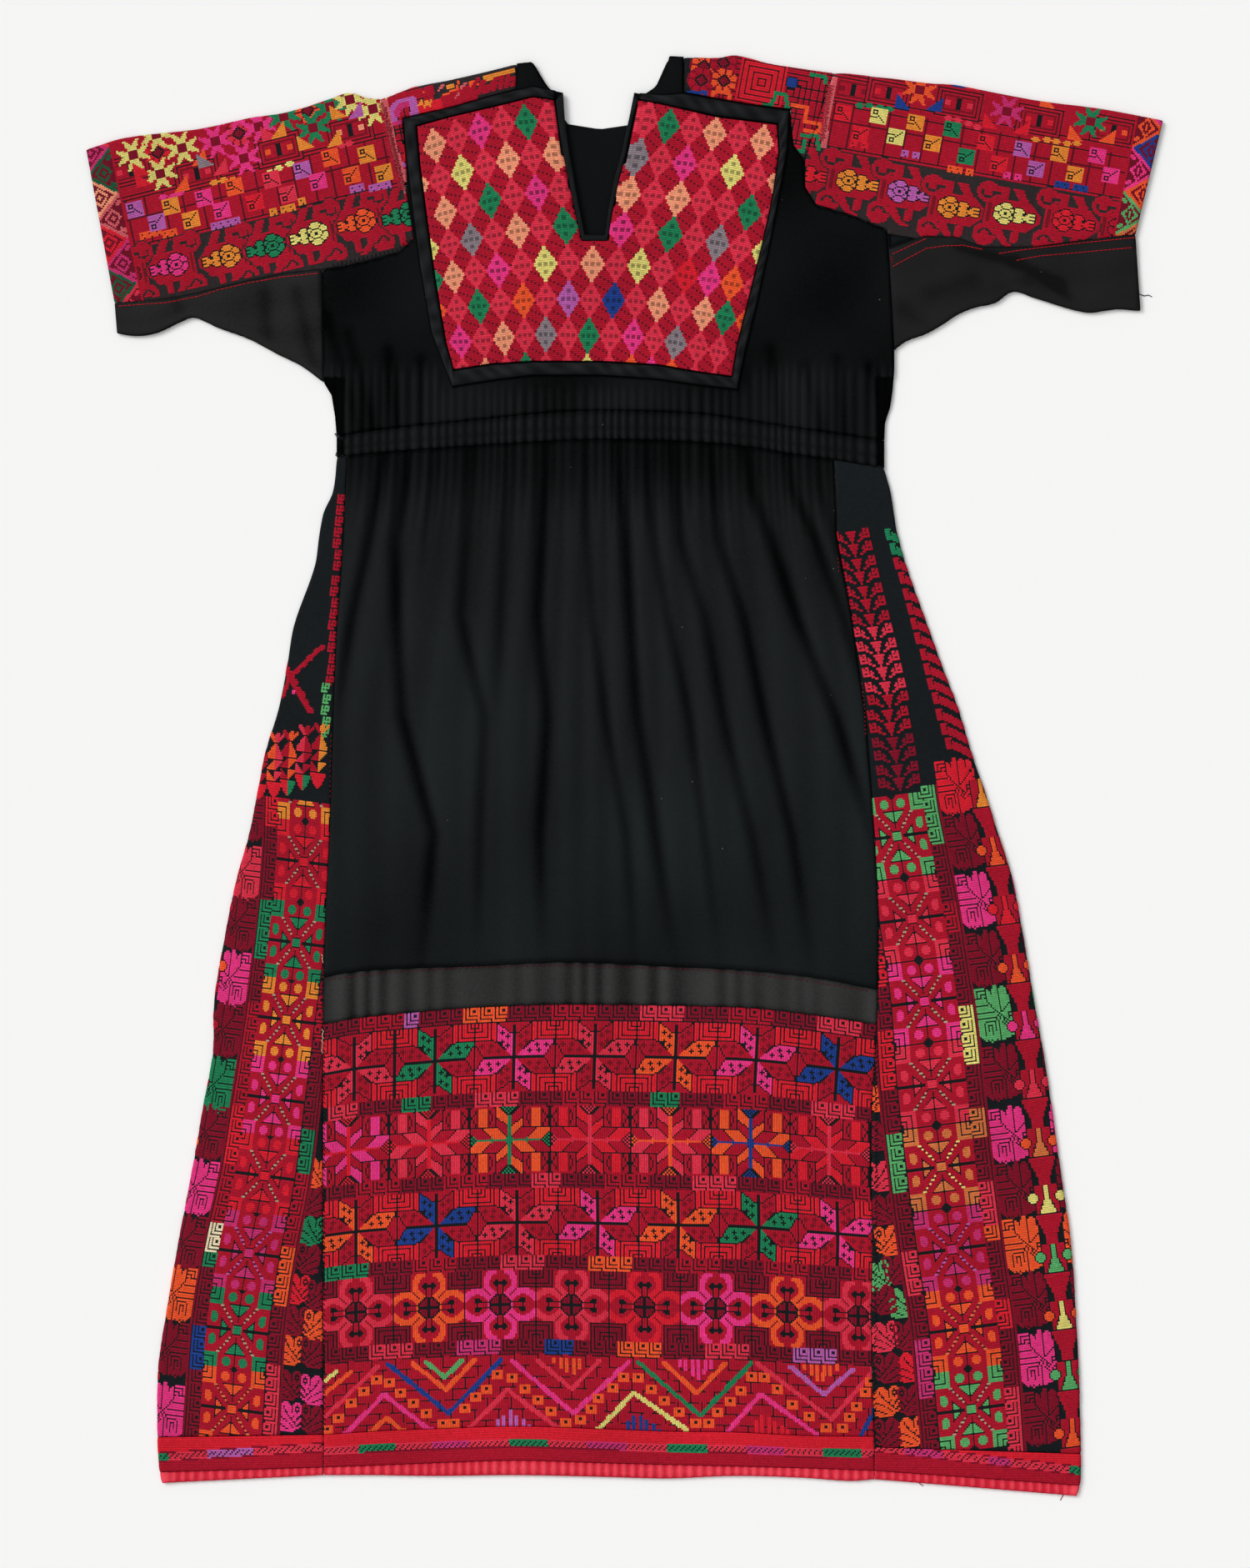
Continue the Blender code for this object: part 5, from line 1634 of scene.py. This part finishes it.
def hem_panels():
    """The embroidered hem panel and, at half its stitches, its back."""
    x, y = body(strip_low, band_high, 300, HEM_ROWS)
    chart = hem_panel_chart(x, y)
    lay("hem_panel", "hem_panel_stitches", "cross_stitch", (0.482, 0.366),
        (x, y), flat(panel_top), STITCHED, chart, on=["hem_panel_back"],
        base=-0.3, turned=True)
    lay("hem_panel_back", "hem_panel_back_stitches", "cross_stitch",
        (0.482, 0.366), body(strip_low, band_high, 150, 116), flat(back_top),
        STITCHED, chart[::2, ::2], base=-0.3, rise=0.2, wall=0.7,
        turned=True)


def chest_lattice():
    """Corners of the chest panel, from a net of measured lozenges.

    Along a row a lozenge is 12 cells wide, down a column 18 high; the
    net is bent in straight lines between its knots and runs on past
    its ends.
    """
    xs = np.array([
        (522, 549, 576, 604, 632, 658, 717, 777, 801, 830, 857, 886, 914),
        (535, 562, 588, 616, 645, 672, 713, 754, 783, 814, 843, 871, 899),
        (545, 570, 598, 627, 655, 683, 711, 740, 766, 795, 823, 851, 878),
        (553, 580, 605, 630, 655, 682, 706, 733, 760, 785, 810, 838, 862)],
        float)
    ys = np.array([
        (176, 166, 158, 150, 148, 145, 145, 145, 153, 155, 162, 166, 172),
        (257, 250, 242, 236, 232, 228, 231, 235, 236, 240, 242, 249, 256),
        (333, 327, 326, 320, 318, 316, 318, 319, 320, 325, 333, 337, 342),
        (411, 410, 407, 403, 402, 403, 404, 404, 405, 408, 412, 418, 423)],
        float)
    columns, rows = np.arange(-20, 165), np.arange(-24, 136)
    u, v = columns / 12, rows / 36

    def spread(net):
        """Read the net at every column and row, running on at its ends."""
        k = np.clip(np.floor(u).astype(int), 0, 11)
        across = net[:, k] + (net[:, k + 1] - net[:, k]) * (u - k)
        m = np.clip(np.floor(v).astype(int), 0, 2)
        return across[m] + (across[m + 1] - across[m]) * (v - m)[:, None]
    return spread(xs), spread(ys)


def chest_chart():
    """Lozenges of many threads with five small crosses in each."""
    chart = blank(159, 184, "R")
    b, a = np.mgrid[:159, :184] + 0.5
    a, b = a - 20, b - 24
    rows = ("-HCMCGC-CGCHCHC", "HCYCHCH-ECMCYCH", "-HCGCMC-HCHCCGC",
            "YCECHCG-MCGCECY", "GHCMCYCHCYCSPOC", "OCGCOCVCBCHCHGO",
            "-MCHCECGCMCECC-", "-CHCGCCYCOMOCCC")
    dash = ((np.floor(b) + 2 * np.floor(a)) % 5 == 0) & (np.floor(a) % 2 == 0)
    sew(chart, dash, "w")
    for r, threads in enumerate(rows):
        for k, thread in enumerate(threads, -1):
            x, y = a - 12 * k, b - 18 * r
            inside = abs(x) / 6.4 + abs(y) / 9.3 <= 1
            if thread == "-":
                continue
            sew(chart, inside, "P" if thread == "M" else thread)
            for cx, cy in ((0, -4), (-3, 0), (0, 0), (3, 0), (0, 4)):
                near = abs(x - cx) + abs(y - cy)
                sew(chart, near < 1.3, thread.lower())
                sew(chart, near < 0.8, "K")
    return chart


def ribbon(table, rows, step):
    """A bound edge between a table's two lines, as a lattice."""
    table = np.asarray(table, float)
    run = np.hypot(*np.diff(table[:, :2], axis=0).T)
    along = np.r_[0, np.cumsum(run)]
    at = np.arange(0, along[-1], step)
    at = np.unique(np.r_[at, along])
    keep = np.r_[True, np.diff(at) > step * 0.2]
    at = at[keep]
    ends = [np.interp(at, along, table[:, k]) for k in range(4)]
    v = np.linspace(0.02, 0.98, rows + 1)[:, None]
    return (ends[0] + (ends[2] - ends[0]) * v,
            ends[1] + (ends[3] - ends[1]) * v, at + 0 * v, v + 0 * at)


def chest_pieces(bodice):
    """The chest panel and its two bindings."""
    inner = [(row[2], row[3]) for row in CHEST]
    slit = [(row[0], row[1]) for row in SLIT]
    ring = drawn_in(inner + slit[-2:0:-1], HALF)
    lay("chest_panel", "chest_panel_stitches", "cross_stitch",
        (0.31, 0.245), chest_lattice(), flat(chest_top), STITCHED,
        chest_chart(), on=["bodice_front"], area=0.0655, ring=ring, wall=0.9,
        base=-0.4, rise=0.5)
    for name, table, step, finish, slot, size in (
            ("chest_binding", CHEST, 4.0, SATIN, "black_satin",
             (0.013, 0.93)),
            ("slit_binding", SLIT, 5.0, BLACK, "black_cotton", None)):
        x, y, at, v = ribbon(table, 8, step)

        def shape(px, py, lift, at=at, v=v):
            """A low arch across, with small folds along it."""
            s, w = np.resize(at, px.shape), np.resize(v, px.shape)
            arch = 0.5 * np.sqrt(np.clip(1 - (2 * w - 1) ** 2, 0, 1))
            pleat = 0.2 * np.sin(s / 4.1 + 5 * w + 2 * np.sin(s / 23))
            pleat = pleat + 0.12 * np.sin(s / 11 - 4 * w + np.sin(s / 37))
            return place(px, py, 6.15 + arch + pleat * np.sin(np.pi * w)
                         + lift)
        piece = cut(name + "_cloth", x, y, shape, finish, base=0, wall=1.2,
                    doubled=True)
        sewn_in(piece, name, slot, size)
    sewn_in(bodice, "bodice_front", "black_cotton", (0.51, 0.34),
            area=0.118)


STAR_ROW = 106          # of a sleeve's chart, where v is 0


def sleeve_lattice(side):
    """Corners ruled between two straight pattern lines.

    v = 0 is the line through the middles of the star groups, v = 1
    the line through the vine, 64 rows down. Columns lean with the
    sleeve's end.
    """
    first, last, start, shift, stars, vines = {
        "left": (-8, 250, 92, 28, (189, 183, -0.255), (205, 320, -0.235)),
        "right": (-66, 204, 955, -25, (1103, 108, 0.185),
                  (1147, 251, 0.175))}[side]
    v = np.arange(-STAR_ROW, 86)[:, None] / 64
    x0 = start + PITCH * np.arange(first, last)[None, :]
    x1 = x0 + shift
    y0, y1 = (y + slope * (at - x)
              for at, (x, y, slope) in ((x0, stars), (x1, vines)))
    return x0 + (x1 - x0) * v, y0 + (y1 - y0) * v


def finder(x, y):
    """A function that gives the lattice row and column nearest a spot."""
    def find(px, py):
        """The cell with the least distance, squared."""
        return divmod(int(np.argmin((x - px) ** 2 + (y - py) ** 2)),
                      x.shape[1])
    return find


def side_lattice(side):
    """Corners of a side panel: columns follow the star column.

    A row through y = t on that column leans up as it goes outward.
    On the right the column 55 steps out follows the bells; on the
    left the width of 28 steps is given instead.
    """
    t = np.arange(528, 1802, PITCH)[:, None]
    s = np.arange(-64, 175)[None, :]
    middle = curve(STAR_LINES[side], t)
    if side == "right":
        shift = curve(BELL_LINE, t) - middle
        reach = curve(BELL_LINE, t - 0.13 * shift) - middle
        return middle + s * reach / 55, t - 0.13 * s * (reach / 55)
    reach = read(LEFT_WIDTHS, t) / 28
    return middle - s * reach, t - 0.13 * s * reach


def side_top(chart, find, side):
    """What is stitched on bare cloth above the panel's full width."""
    if side == "right":
        top = find(1021, 644)[0]
        for k, y in enumerate(np.arange(644, 940, 16.4)):
            x = np.interp(y, (644, 747, 829, 882, 940),
                          (1022, 1046, 1062, 1071, 1081))
            thread = "C" if 750 < y < 825 else "R" if y < 880 else "D"
            stamp(chart, charted(TIER, thread), top + 7.45 * k,
                  find(x, y)[1])
        for y in np.arange(632, 900, 18):
            x = np.interp(y, (632, 676, 891), (1062, 1075, 1136))
            row, column = find(x, y)
            stamp(chart, plume("G" if y < 660 else "R"), row + 13,
                  column + 13)
        return
    for y in np.arange(600, 820, 13.5):
        x = np.interp(y, (600, 700, 820), (410, 403, 397))
        stamp(chart, charted(HOOK, "R"), *find(x, y))
    for y in np.arange(826, 884, 13.5):
        stamp(chart, charted(HOOK, "L"), *find(391, y))
    for ends in ([(387, 776), (350, 811), (373, 850)],
                 [(342, 800), (350, 811), (342, 834)]):
        seam_line(chart, find, ends, "R", 2)
        for share in np.linspace(0, 1, 6):
            x0, y0, x1, y1 = *ends[0], *ends[1]
            stamp(chart, charted("xxx. xxxx .xx.", "R"),
                  *find(x0 + (x1 - x0) * share, y0 + (y1 - y0) * share))
    for share in np.linspace(0, 1, 6):
        stamp(chart, charted(".xx. xxxx xxx.", "R"),
              *find(350 + 23 * share, 811 + 39 * share))
    stamp(chart, charted("xx xx", "P"), *find(353, 830))
    for k, (accent, other) in enumerate(("AR", "RC", "OR", "CO", "RS", "SR")):
        tile = charted(ROWS, accent, other)
        tile[27:] = charted(ROWS, "G" if k in (1, 2) else "S", "S")[27:]
        row, column = find(383 - 17.8 * k, 909 + 2.2 * k)
        stamp(chart, tile, row, column)


def side_chart(side, x, y):
    """A whole side panel, its chart turned over at the last column.

    Outward from the seam: buds, a meander, stars, a meander, leaves,
    and bells on the column that the chart turns on.
    """
    half = blank(x.shape[0] - 1, CREST)
    find = finder(x[:-1, :CREST], y[:-1, :CREST])
    first = find(*((1076, 948) if side == "right" else (366, 962)))[0]
    for number, (px, py, thread) in enumerate(spots(BUDS[side])):
        stamp(half, charted(BUD, thread), *find(px, py),
              "x" if number % 2 else "")
    for runs, column, turn in ((INNER, 41, ""), (OUTER, 87, "x")):
        half[first:, column - 6:column + 5] = ord("K")
        for row in range(first + 4, half.shape[0], 8):
            thread = chr(threads_at(runs[side], y[row, column]))
            stamp(half, meander(thread), row, column, turn)
    half[first:, 35] = half[first:, 92] = ord("D")
    for px, py, thread in spots(STARS[side]):
        stamp(half, star_square(thread), find(px, py)[0], 64.5)
    half[:first] = ord("K")
    for px, py, thread in spots(LEAVES[side]):
        stamp(half, charted(LEAF, thread), find(px, py)[0], 104.5)
    for k, (px, py, thread) in enumerate(spots(BELLS)):
        row = find(px, py)[0]
        if side == "left":
            row, thread = first + 32 * k, "R"
        stamp(half, bell(thread), row + 8, CREST)
        if k:
            stamp(half, disc(thread if k % 3 else "O"), row - 1, CREST - 7)
    side_top(half, find, side)
    chart = np.concatenate([half, half[:, ::-1], half], 1)
    return chart[:, :x.shape[1] - 1]


def cuff(chart, first, outward, start, outer, inner):
    """Triangles along the cuff, each framed in its own thread.

    Outer ones stand on the edge, inner ones on the field, and a
    zigzag of 26 rows parts them. Each holds an eye, which is a
    lozenge with a dot, and two small corners by its base.
    """
    rows, columns = np.mgrid[:chart.shape[0], :17] + 0.5
    edge = columns if outward else 17 - columns
    rows = rows - STAR_ROW - start
    away = edge - abs(rows % 26 - 13) * 1.15 - 0.5
    outside = away < 0
    number = np.floor((rows + np.where(outside, 13, 0)) / 26).astype(int)
    swing = abs((rows + np.where(outside, 13, 0)) % 26 - 13)
    base = np.where(outside, edge, 16 - edge)
    eye = abs(base - 5.6) + swing * 0.8
    worked = (abs(away) < 2.6) | (eye < 1.3) | (abs(eye - 3.9) < 0.8)
    worked |= (base < 3.4) & (abs(swing + base * 0.6 - 8.6) < 1.2)
    tile = blank(chart.shape[0], 17, "W")
    for k in range(4):
        for part, threads in ((outside, outer), (~outside, inner)):
            sew(tile, part & (number % 4 == k) & worked, threads[k])
    sew(tile, edge > 16, "R")
    chart[:, first:first + 17] = tile


def shoulder_top(chart, find, side):
    """Patches, rosettes and stepped lines of the shoulder pieces."""
    def lines(text, wide=2):
        """Stitch stepped lines on this piece."""
        seam_lines(chart, find, text, wide)
    b, a = np.mgrid[:chart.shape[0], :chart.shape[1]]
    nest = np.maximum(abs(a % 26 - 13), abs(b % 22 - 11)) % 3 == 2
    edge = find(*((464, 160) if side == "left" else (993, 140)))[1]
    here = a > edge if side == "left" else a < edge
    sew(chart, here & nest & (b < 150), "K")
    if side == "left":
        sew(chart, here & (a > find(500, 112)[1]), "X")
        lines("S 501 127 519 122; R 530 116 550 108", 9)
        lines("R 462 120 480 114 495 110; R 507 114 508 107", 5)
        lines("V 466 140 468 128 476 121 490 119 493 128 492 138", 4)
        lines("""M 472 135 478 126 484 123; A 580 93 590 90;
            O 562 100 568 98""", 3)
        lines("""R 557 114 571 96; R 564 114 566 104; R 571 112 578 97;
            R 578 110 581 103; R 583 108 595 91; R 590 106 592 98;
            R 598 104 600 90; R 605 103 607 91; R 612 101 619 97;
            R 611 94 619 91; A 590 90 614 84; A 535 104 540 103;
            S 484 168 484 190; S 490 168 490 190; G 497 160 500 182;
            V 480 196 496 200; O 482 214 496 204; G 492 214 498 232;
            M 466 150 486 144""")
        lines("""O 548 98 549 107 532 114; F 525 109 531 102;
            F 552 106 558 100; F 545 118 550 112; O 507 110 508 110;
            A 502 127 505 122 508 129 511 121 514 127 517 121""", 1)
        lines("F 458 121 464 150 472 184 481 212 487 232", 3)
        return
    plain = here & (a < find(836, 90)[1])
    sew(chart, plain, "K")
    ring = find(912, 98)
    key = np.maximum(abs(a - ring[1]), abs(b - ring[0]))
    sew(chart, (key < 13) & (key % 3 < 2), "S")
    sew(chart, (key < 13) & (key % 3 == 2), "K")
    for px, py, thread in spots("843 79 O 870 78 R 843 97 R 871 97 O"):
        stamp(chart, rosette(thread), *find(px, py))
    lines("""B 825 118 825 110 845 110 845 118; O 853 121 853 109 873 109
        873 121; G 905 127 924 124 930 110 941 112 943 130; O 948 125 966
        127 964 145 984 147 983 157 964 155; G 960 161 980 162 980 176;
        G 952 180 962 180 964 168; G 972 88 988 90 988 97""")
    stamp(chart, disc("B", 3), *find(948, 101))
    lines("F 998 92 995 110 991 135 988 150 986 172", 3)


def sleeve_chart(side, x, y):
    """A sleeve and its shoulder: stars, checks, then the vine."""
    chart = blank(x.shape[0] - 1, x.shape[1] - 1, "R")
    find = finder(x[:-1, :-1], y[:-1, :-1])
    low, check = (50, 23) if side == "left" else (43, 16)
    for v in (20, 22, low - 2) if side == "left" else (11, 17, low - 2):
        chart[STAR_ROW + v] = ord("K")
    chart[:STAR_ROW - 19] = ord("D")
    for v in range(-104, -20, 8):
        for k in range(0, chart.shape[1], 9):
            stamp(chart, charted(CHECK, "RS"[(k // 9 + v // 8) % 2], "R"),
                  STAR_ROW + v, k)
    chart[STAR_ROW + low:] = ord("X")
    motifs = SLEEVE[side]
    band = chart[STAR_ROW + check:STAR_ROW + low - 2]
    band[:, np.arange(chart.shape[1]) % 10 == 0] = ord("d")
    band[10] = ord("d")
    for name, make, turn in (
            ("spray", lambda t: vine(t, 30 if side == "right" else 26),
             "" if side == "right" else "x"),
            ("frame", frame_tile, ""), ("rosette", rosette, ""),
            ("star", small_star, ""),
            ("comb", lambda t: charted("xxxx xkxx xxxx xxkx", t), ""),
            ("dash", lambda t: charted(".xxx. xxxxx .xxx.", t), ""),
            ("check", lambda t: charted(CHECK, t), "")):
        for number, (px, py, thread) in enumerate(spots(motifs[name])):
            row, column = find(px, py)
            flip = "y" if name == "check" and number > 7 else turn
            stamp(chart, make(thread), row + 0.5, column + 0.5, flip)
    for number, (px, py, thread) in enumerate(spots(motifs["corner"])):
        stamp(chart, corner_tile(thread), *find(px, py),
              "x" if number % 2 == 0 else "")
    b, a = np.mgrid[:chart.shape[0], :chart.shape[1]]
    end = 183 + 0.03 * a if side == "left" else 189 + 0 * a
    sew(chart, b > end, "X")
    if side == "left":
        cuff(chart, 12, True, -8.7, "MHSg", "gFMC")
    else:
        cuff(chart, 250, False, -15, "PBON", "OPLS")
    shoulder_top(chart, find, side)
    return chart


def arms():
    """Sleeves, shoulder pieces and gussets."""
    for side, sleeve, shoulder, gusset, faded_and_lit, *sizes in (
            ("left", LEFT_SLEEVE, LEFT_SHOULDER, LEFT_GUSSET, FADED,
             (0.118, 0.062), (0.19, 0.12)),
            ("right", RIGHT_SLEEVE, RIGHT_SHOULDER, RIGHT_GUSSET, RIGHT_FADED,
             (0.13, 0.09), (0.22, 0.14))):
        over = line(sorted({row[:2] for row in sleeve + shoulder}), 1)
        lattice = sleeve_lattice(side)
        chart = sleeve_chart(side, *lattice)
        for label, rows, size in (("sleeve_", sleeve, (0.27, 0.30)),
                                  ("shoulder_", shoulder, sizes[0])):
            ring, shape, zone = turned_over(rows, panel_top, over, 1, False)
            lay(label + side, label + side + "_stitches", "cross_stitch",
                size, lattice, shape, STITCHED, chart, held="folded",
                on=["bodice_back"], ring=ring, base=-0.5, rise=0.42,
                zone=zone)
        under = line(sorted({row[:2] for row in gusset}), 1)
        ring, shape, _ = turned_over(gusset, gusset_top, under, -1, False)
        lay("gusset_" + side, "gusset_" + side + "_cloth", "faded_cotton",
            sizes[1], squares(box_of(ring), 4.4, 3.0), shape, faded_and_lit,
            held="folded", ring=ring, base=-0.15, doubled=True)


def side_panels():
    """Side panels, and the sides of the band and facing."""
    for side, edge, column, inward, first, hem, size, area, ends in (
            ("left", LEFT_FOLD, 2, 1, (WAIST_LEFT, 549, 417, 548), LEFT_HEM,
             (0.29, 0.85), 0.145, (190, 1747, 390, 1735)),
            ("right", RIGHT_FOLD, 3, -1, (WAIST_RIGHT, 562, 1000.3, 552),
             RIGHT_HEM, (0.37, 0.86), 0.215, (1050, 1735, 1294, 1763))):
        fold = line(edge, 1), inward, True
        rows = [first, *((fold[0](row[0]), row[0], row[column], row[0])
                         for row in SIDES), hem[0]]
        ring, shape, zone = turned_over(rows, panel_top, *fold)
        lattice = side_lattice(side)
        lay("side_panel_" + side, "side_panel_" + side + "_stitches",
            "cross_stitch", size, lattice, shape, STITCHED,
            side_chart(side, *lattice), held="folded", on=["skirt_back"],
            area=area, ring=ring, base=-0.5, rise=0.42, zone=zone)
        for label, rows, top, finish, slot, deep in (
                ("hem_band_", hem[:2], band_top, STITCHED, "cross_stitch",
                 0.03),
                ("hem_facing_", hem[1:], facing_top, CORAL, "coral_cotton",
                 0.01)):
            ring, shape, zone = turned_over(rows, top, *fold)
            lattice = squares(box_of(ring), PITCH)
            chart = (band_chart(*lattice, TWISTS[side], lambda at:
                                np.interp(at, ends[::2], ends[1::2]))
                     if finish is STITCHED else None)
            lay(label + side, label + side + "_cloth", slot, (0.31, deep),
                lattice, shape, finish, chart, held="folded", ring=ring,
                base=-0.5, rise=0.42, zone=zone)


def band_chart(x, y, runs, middle):
    """Red band with a twisted line of changing threads along it."""
    x = (x[:-1, :-1] + x[1:, 1:]) / 2
    y = (y[:-1, :-1] + y[1:, 1:]) / 2
    off = y - middle(x)
    chart = blank(*x.shape, "S")
    sew(chart, off > 0, "R")
    sew(chart, abs(off) < 5.8, "D")
    chart = np.where(abs(off) < 4.6, threads_at(runs, x), chart)
    slit = np.floor((x + off) / PITCH) % 3 < 1
    sew(chart, slit & (abs(off) < 3.2), "K")
    return chart


def hem_strips():
    """The hem band and its facing, front and back."""
    for way in ("front", "back"):
        for label, upper, lower, rows, top, finish, slot, deep in (
                ("hem_band_", band_high, band_low, 19, band_top, STITCHED,
                 "cross_stitch", 0.03),
                ("hem_facing_", band_low, edge_low, 5, facing_top, CORAL,
                 "coral_cotton", 0.011)):
            x, y = body(upper, lower, 300, rows)
            chart = (band_chart(x, y, TWISTS["front"],
                                lambda at: band_high(at) + 20)
                     if finish is STITCHED else None)
            ahead = way == "front"
            lay(label + way, label + way + "_cloth", slot, (0.482, deep),
                (x, y), flat(top if ahead else back_top), finish, chart,
                base=-0.3, rise=0.2, wall=0.7,
                doubled=ahead and finish is CORAL)


def stitches_along(places, pitch, length, lean, scatter, top):
    """Stitches at even steps along a line: middles, turns and halves.

    Each is turned by the lean and a little chance.
    """
    marks = np.array(pairs(places.split()))
    along = np.r_[0, np.cumsum(np.hypot(*np.diff(marks, axis=0).T))]
    at = np.arange(pitch / 2, along[-1], pitch)
    x, y = (np.interp(at, along, column) for column in marks.T)
    run_x, run_y = (np.interp(at + 1, along, column)
                    - np.interp(at - 1, along, column) for column in marks.T)
    turn = np.arctan2(-run_y, run_x) + np.radians(
        lean + RNG.normal(0, scatter, len(at)))
    half = length / 2 * RNG.uniform(0.85, 1.1, len(at))
    return place(x, y, top(x, y) + SEWN_LIFT), turn, half


def spindles(middle, turn, half):
    """Closed spindles: points, four-sided faces and triangles.

    A spindle is two rings of four corners about its run, with a point
    at each end.
    """
    run = np.stack([np.cos(turn), np.sin(turn), 0 * turn], -1)
    beside = np.stack([-np.sin(turn), np.cos(turn), 0 * turn], -1)
    beside = beside * SPINDLE_WIDE
    up = np.array([0, 0, SPINDLE_HIGH]) + 0 * run
    around = np.stack([beside, up, -beside, -up], 1)
    far = (run * half[:, None])[:, None]
    centre = middle[:, None]
    spots = np.concatenate([centre - 0.6 * far + around,
                            centre + 0.6 * far + around,
                            centre - far, centre + far], 1)
    base = np.arange(len(middle))[:, None, None] * 10
    k = np.arange(4)
    after = (k + 1) % 4
    quads = base + np.stack([k, after, after + 4, k + 4], -1)
    tris = base + np.concatenate([np.stack([k + 4, after + 4, 9 + 0 * k], -1),
                                  np.stack([after, k, 8 + 0 * k], -1)])
    return spots.reshape(-1, 3), quads.reshape(-1, 4), tris.reshape(-1, 3)


SEWN_LIFT = 0.12                                # mm over the cloth
SPINDLE_WIDE, SPINDLE_HIGH = 0.00036, 0.0003    # m, half its width, height


def sewing():
    """Loose and sewn threads, one closed spindle for every stitch."""
    tops = {"gusset": gusset_top, "strip": strip_top, "panel": panel_top,
            "skirt": skirt_top, "low": lambda x, y: FRONT - 0.9 + 0 * x,
            "floor": lambda x, y: 0.25 + 0 * x}
    stitches, letters = [], []
    for letter, pitch, length, lean, scatter, surface, runs in SEWING:
        for places in runs.split(";"):
            stitches.append(stitches_along(places, pitch, length, lean,
                                           scatter, tops[surface]))
            letters += [ord(letter)] * len(stitches[-1][1])
    middle, turn, half = map(np.concatenate, zip(*stitches))
    spots, quads, tris = spindles(middle, turn, half * SQUARE / 1000)
    codes = np.concatenate([np.repeat(letters, 4), np.repeat(letters, 8)])
    mid = np.concatenate([spots[quads].mean(1), spots[tris].mean(1)])
    piece = mesh_of("sewing_threads", spots, quads, tris,
                    np.zeros((len(spots), 2)), thread_colours(codes, mid),
                    THREAD)
    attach(piece, "root")


front = plain_pieces()
hem_panels()
chest_pieces(front)
arms()
side_panels()
hem_strips()
sewing()


def studio():
    """Pale floor, soft light from the upper left, camera above."""
    scene = bpy.context.scene

    def added(name, data, where=(0, 0, 0)):
        """Put an object in the scene."""
        made = bpy.data.objects.new(name, data)
        made.location = where
        scene.collection.objects.link(made)
        return made

    mesh = bpy.data.meshes.new("Floor")
    mesh.from_pydata([(x * FLOOR, y * FLOOR, -0.0001) for x, y in
                      ((-1, -1), (1, -1), (1, 1), (-1, 1))], [],
                     [(0, 1, 2, 3)])
    made, _, inputs = finish_of("Pale floor", 0.9)
    inputs["Base Color"].default_value = (0.9, 0.9, 0.895, 1)
    mesh.materials.append(made)
    added("Floor", mesh)
    scene.world = bpy.data.worlds.new("Soft room")
    scene.world.use_nodes = True
    tree = scene.world.node_tree
    sky = tree.nodes["Background"].inputs
    sky["Color"].default_value = (1, 1, 1, 1)
    x, _, z = apart(wire(tree, "TexCoord", out="Generated"))
    high = wire(tree, "MapRange", {0: z, 1: 0.15, 2: 0.8, 3: 0.25, 4: 1.0})
    side = wire(tree, "MapRange", {0: x, 1: -0.7, 2: 0.7, 3: 1.5, 4: 0.5})
    (high * side * 0.85).fill(sky["Strength"])
    lamp = bpy.data.lights.new("Window", "SUN")
    lamp.energy, lamp.angle = 1.6, 0.5
    window = added("Window", lamp, (-2.2, 1.6, 2.4))
    window.rotation_euler = window.location.to_track_quat("Z", "Y").to_euler()
    camera = bpy.data.cameras.new("Overhead")
    camera.sensor_fit, camera.sensor_height = "VERTICAL", SENSOR
    camera.lens = SENSOR * CAMERA_HEIGHT / VIEW_HEIGHT
    scene.camera = added("Overhead", camera, (*VIEW_MIDDLE, CAMERA_HEIGHT))
    scene.view_settings.view_transform = "Standard"


studio()
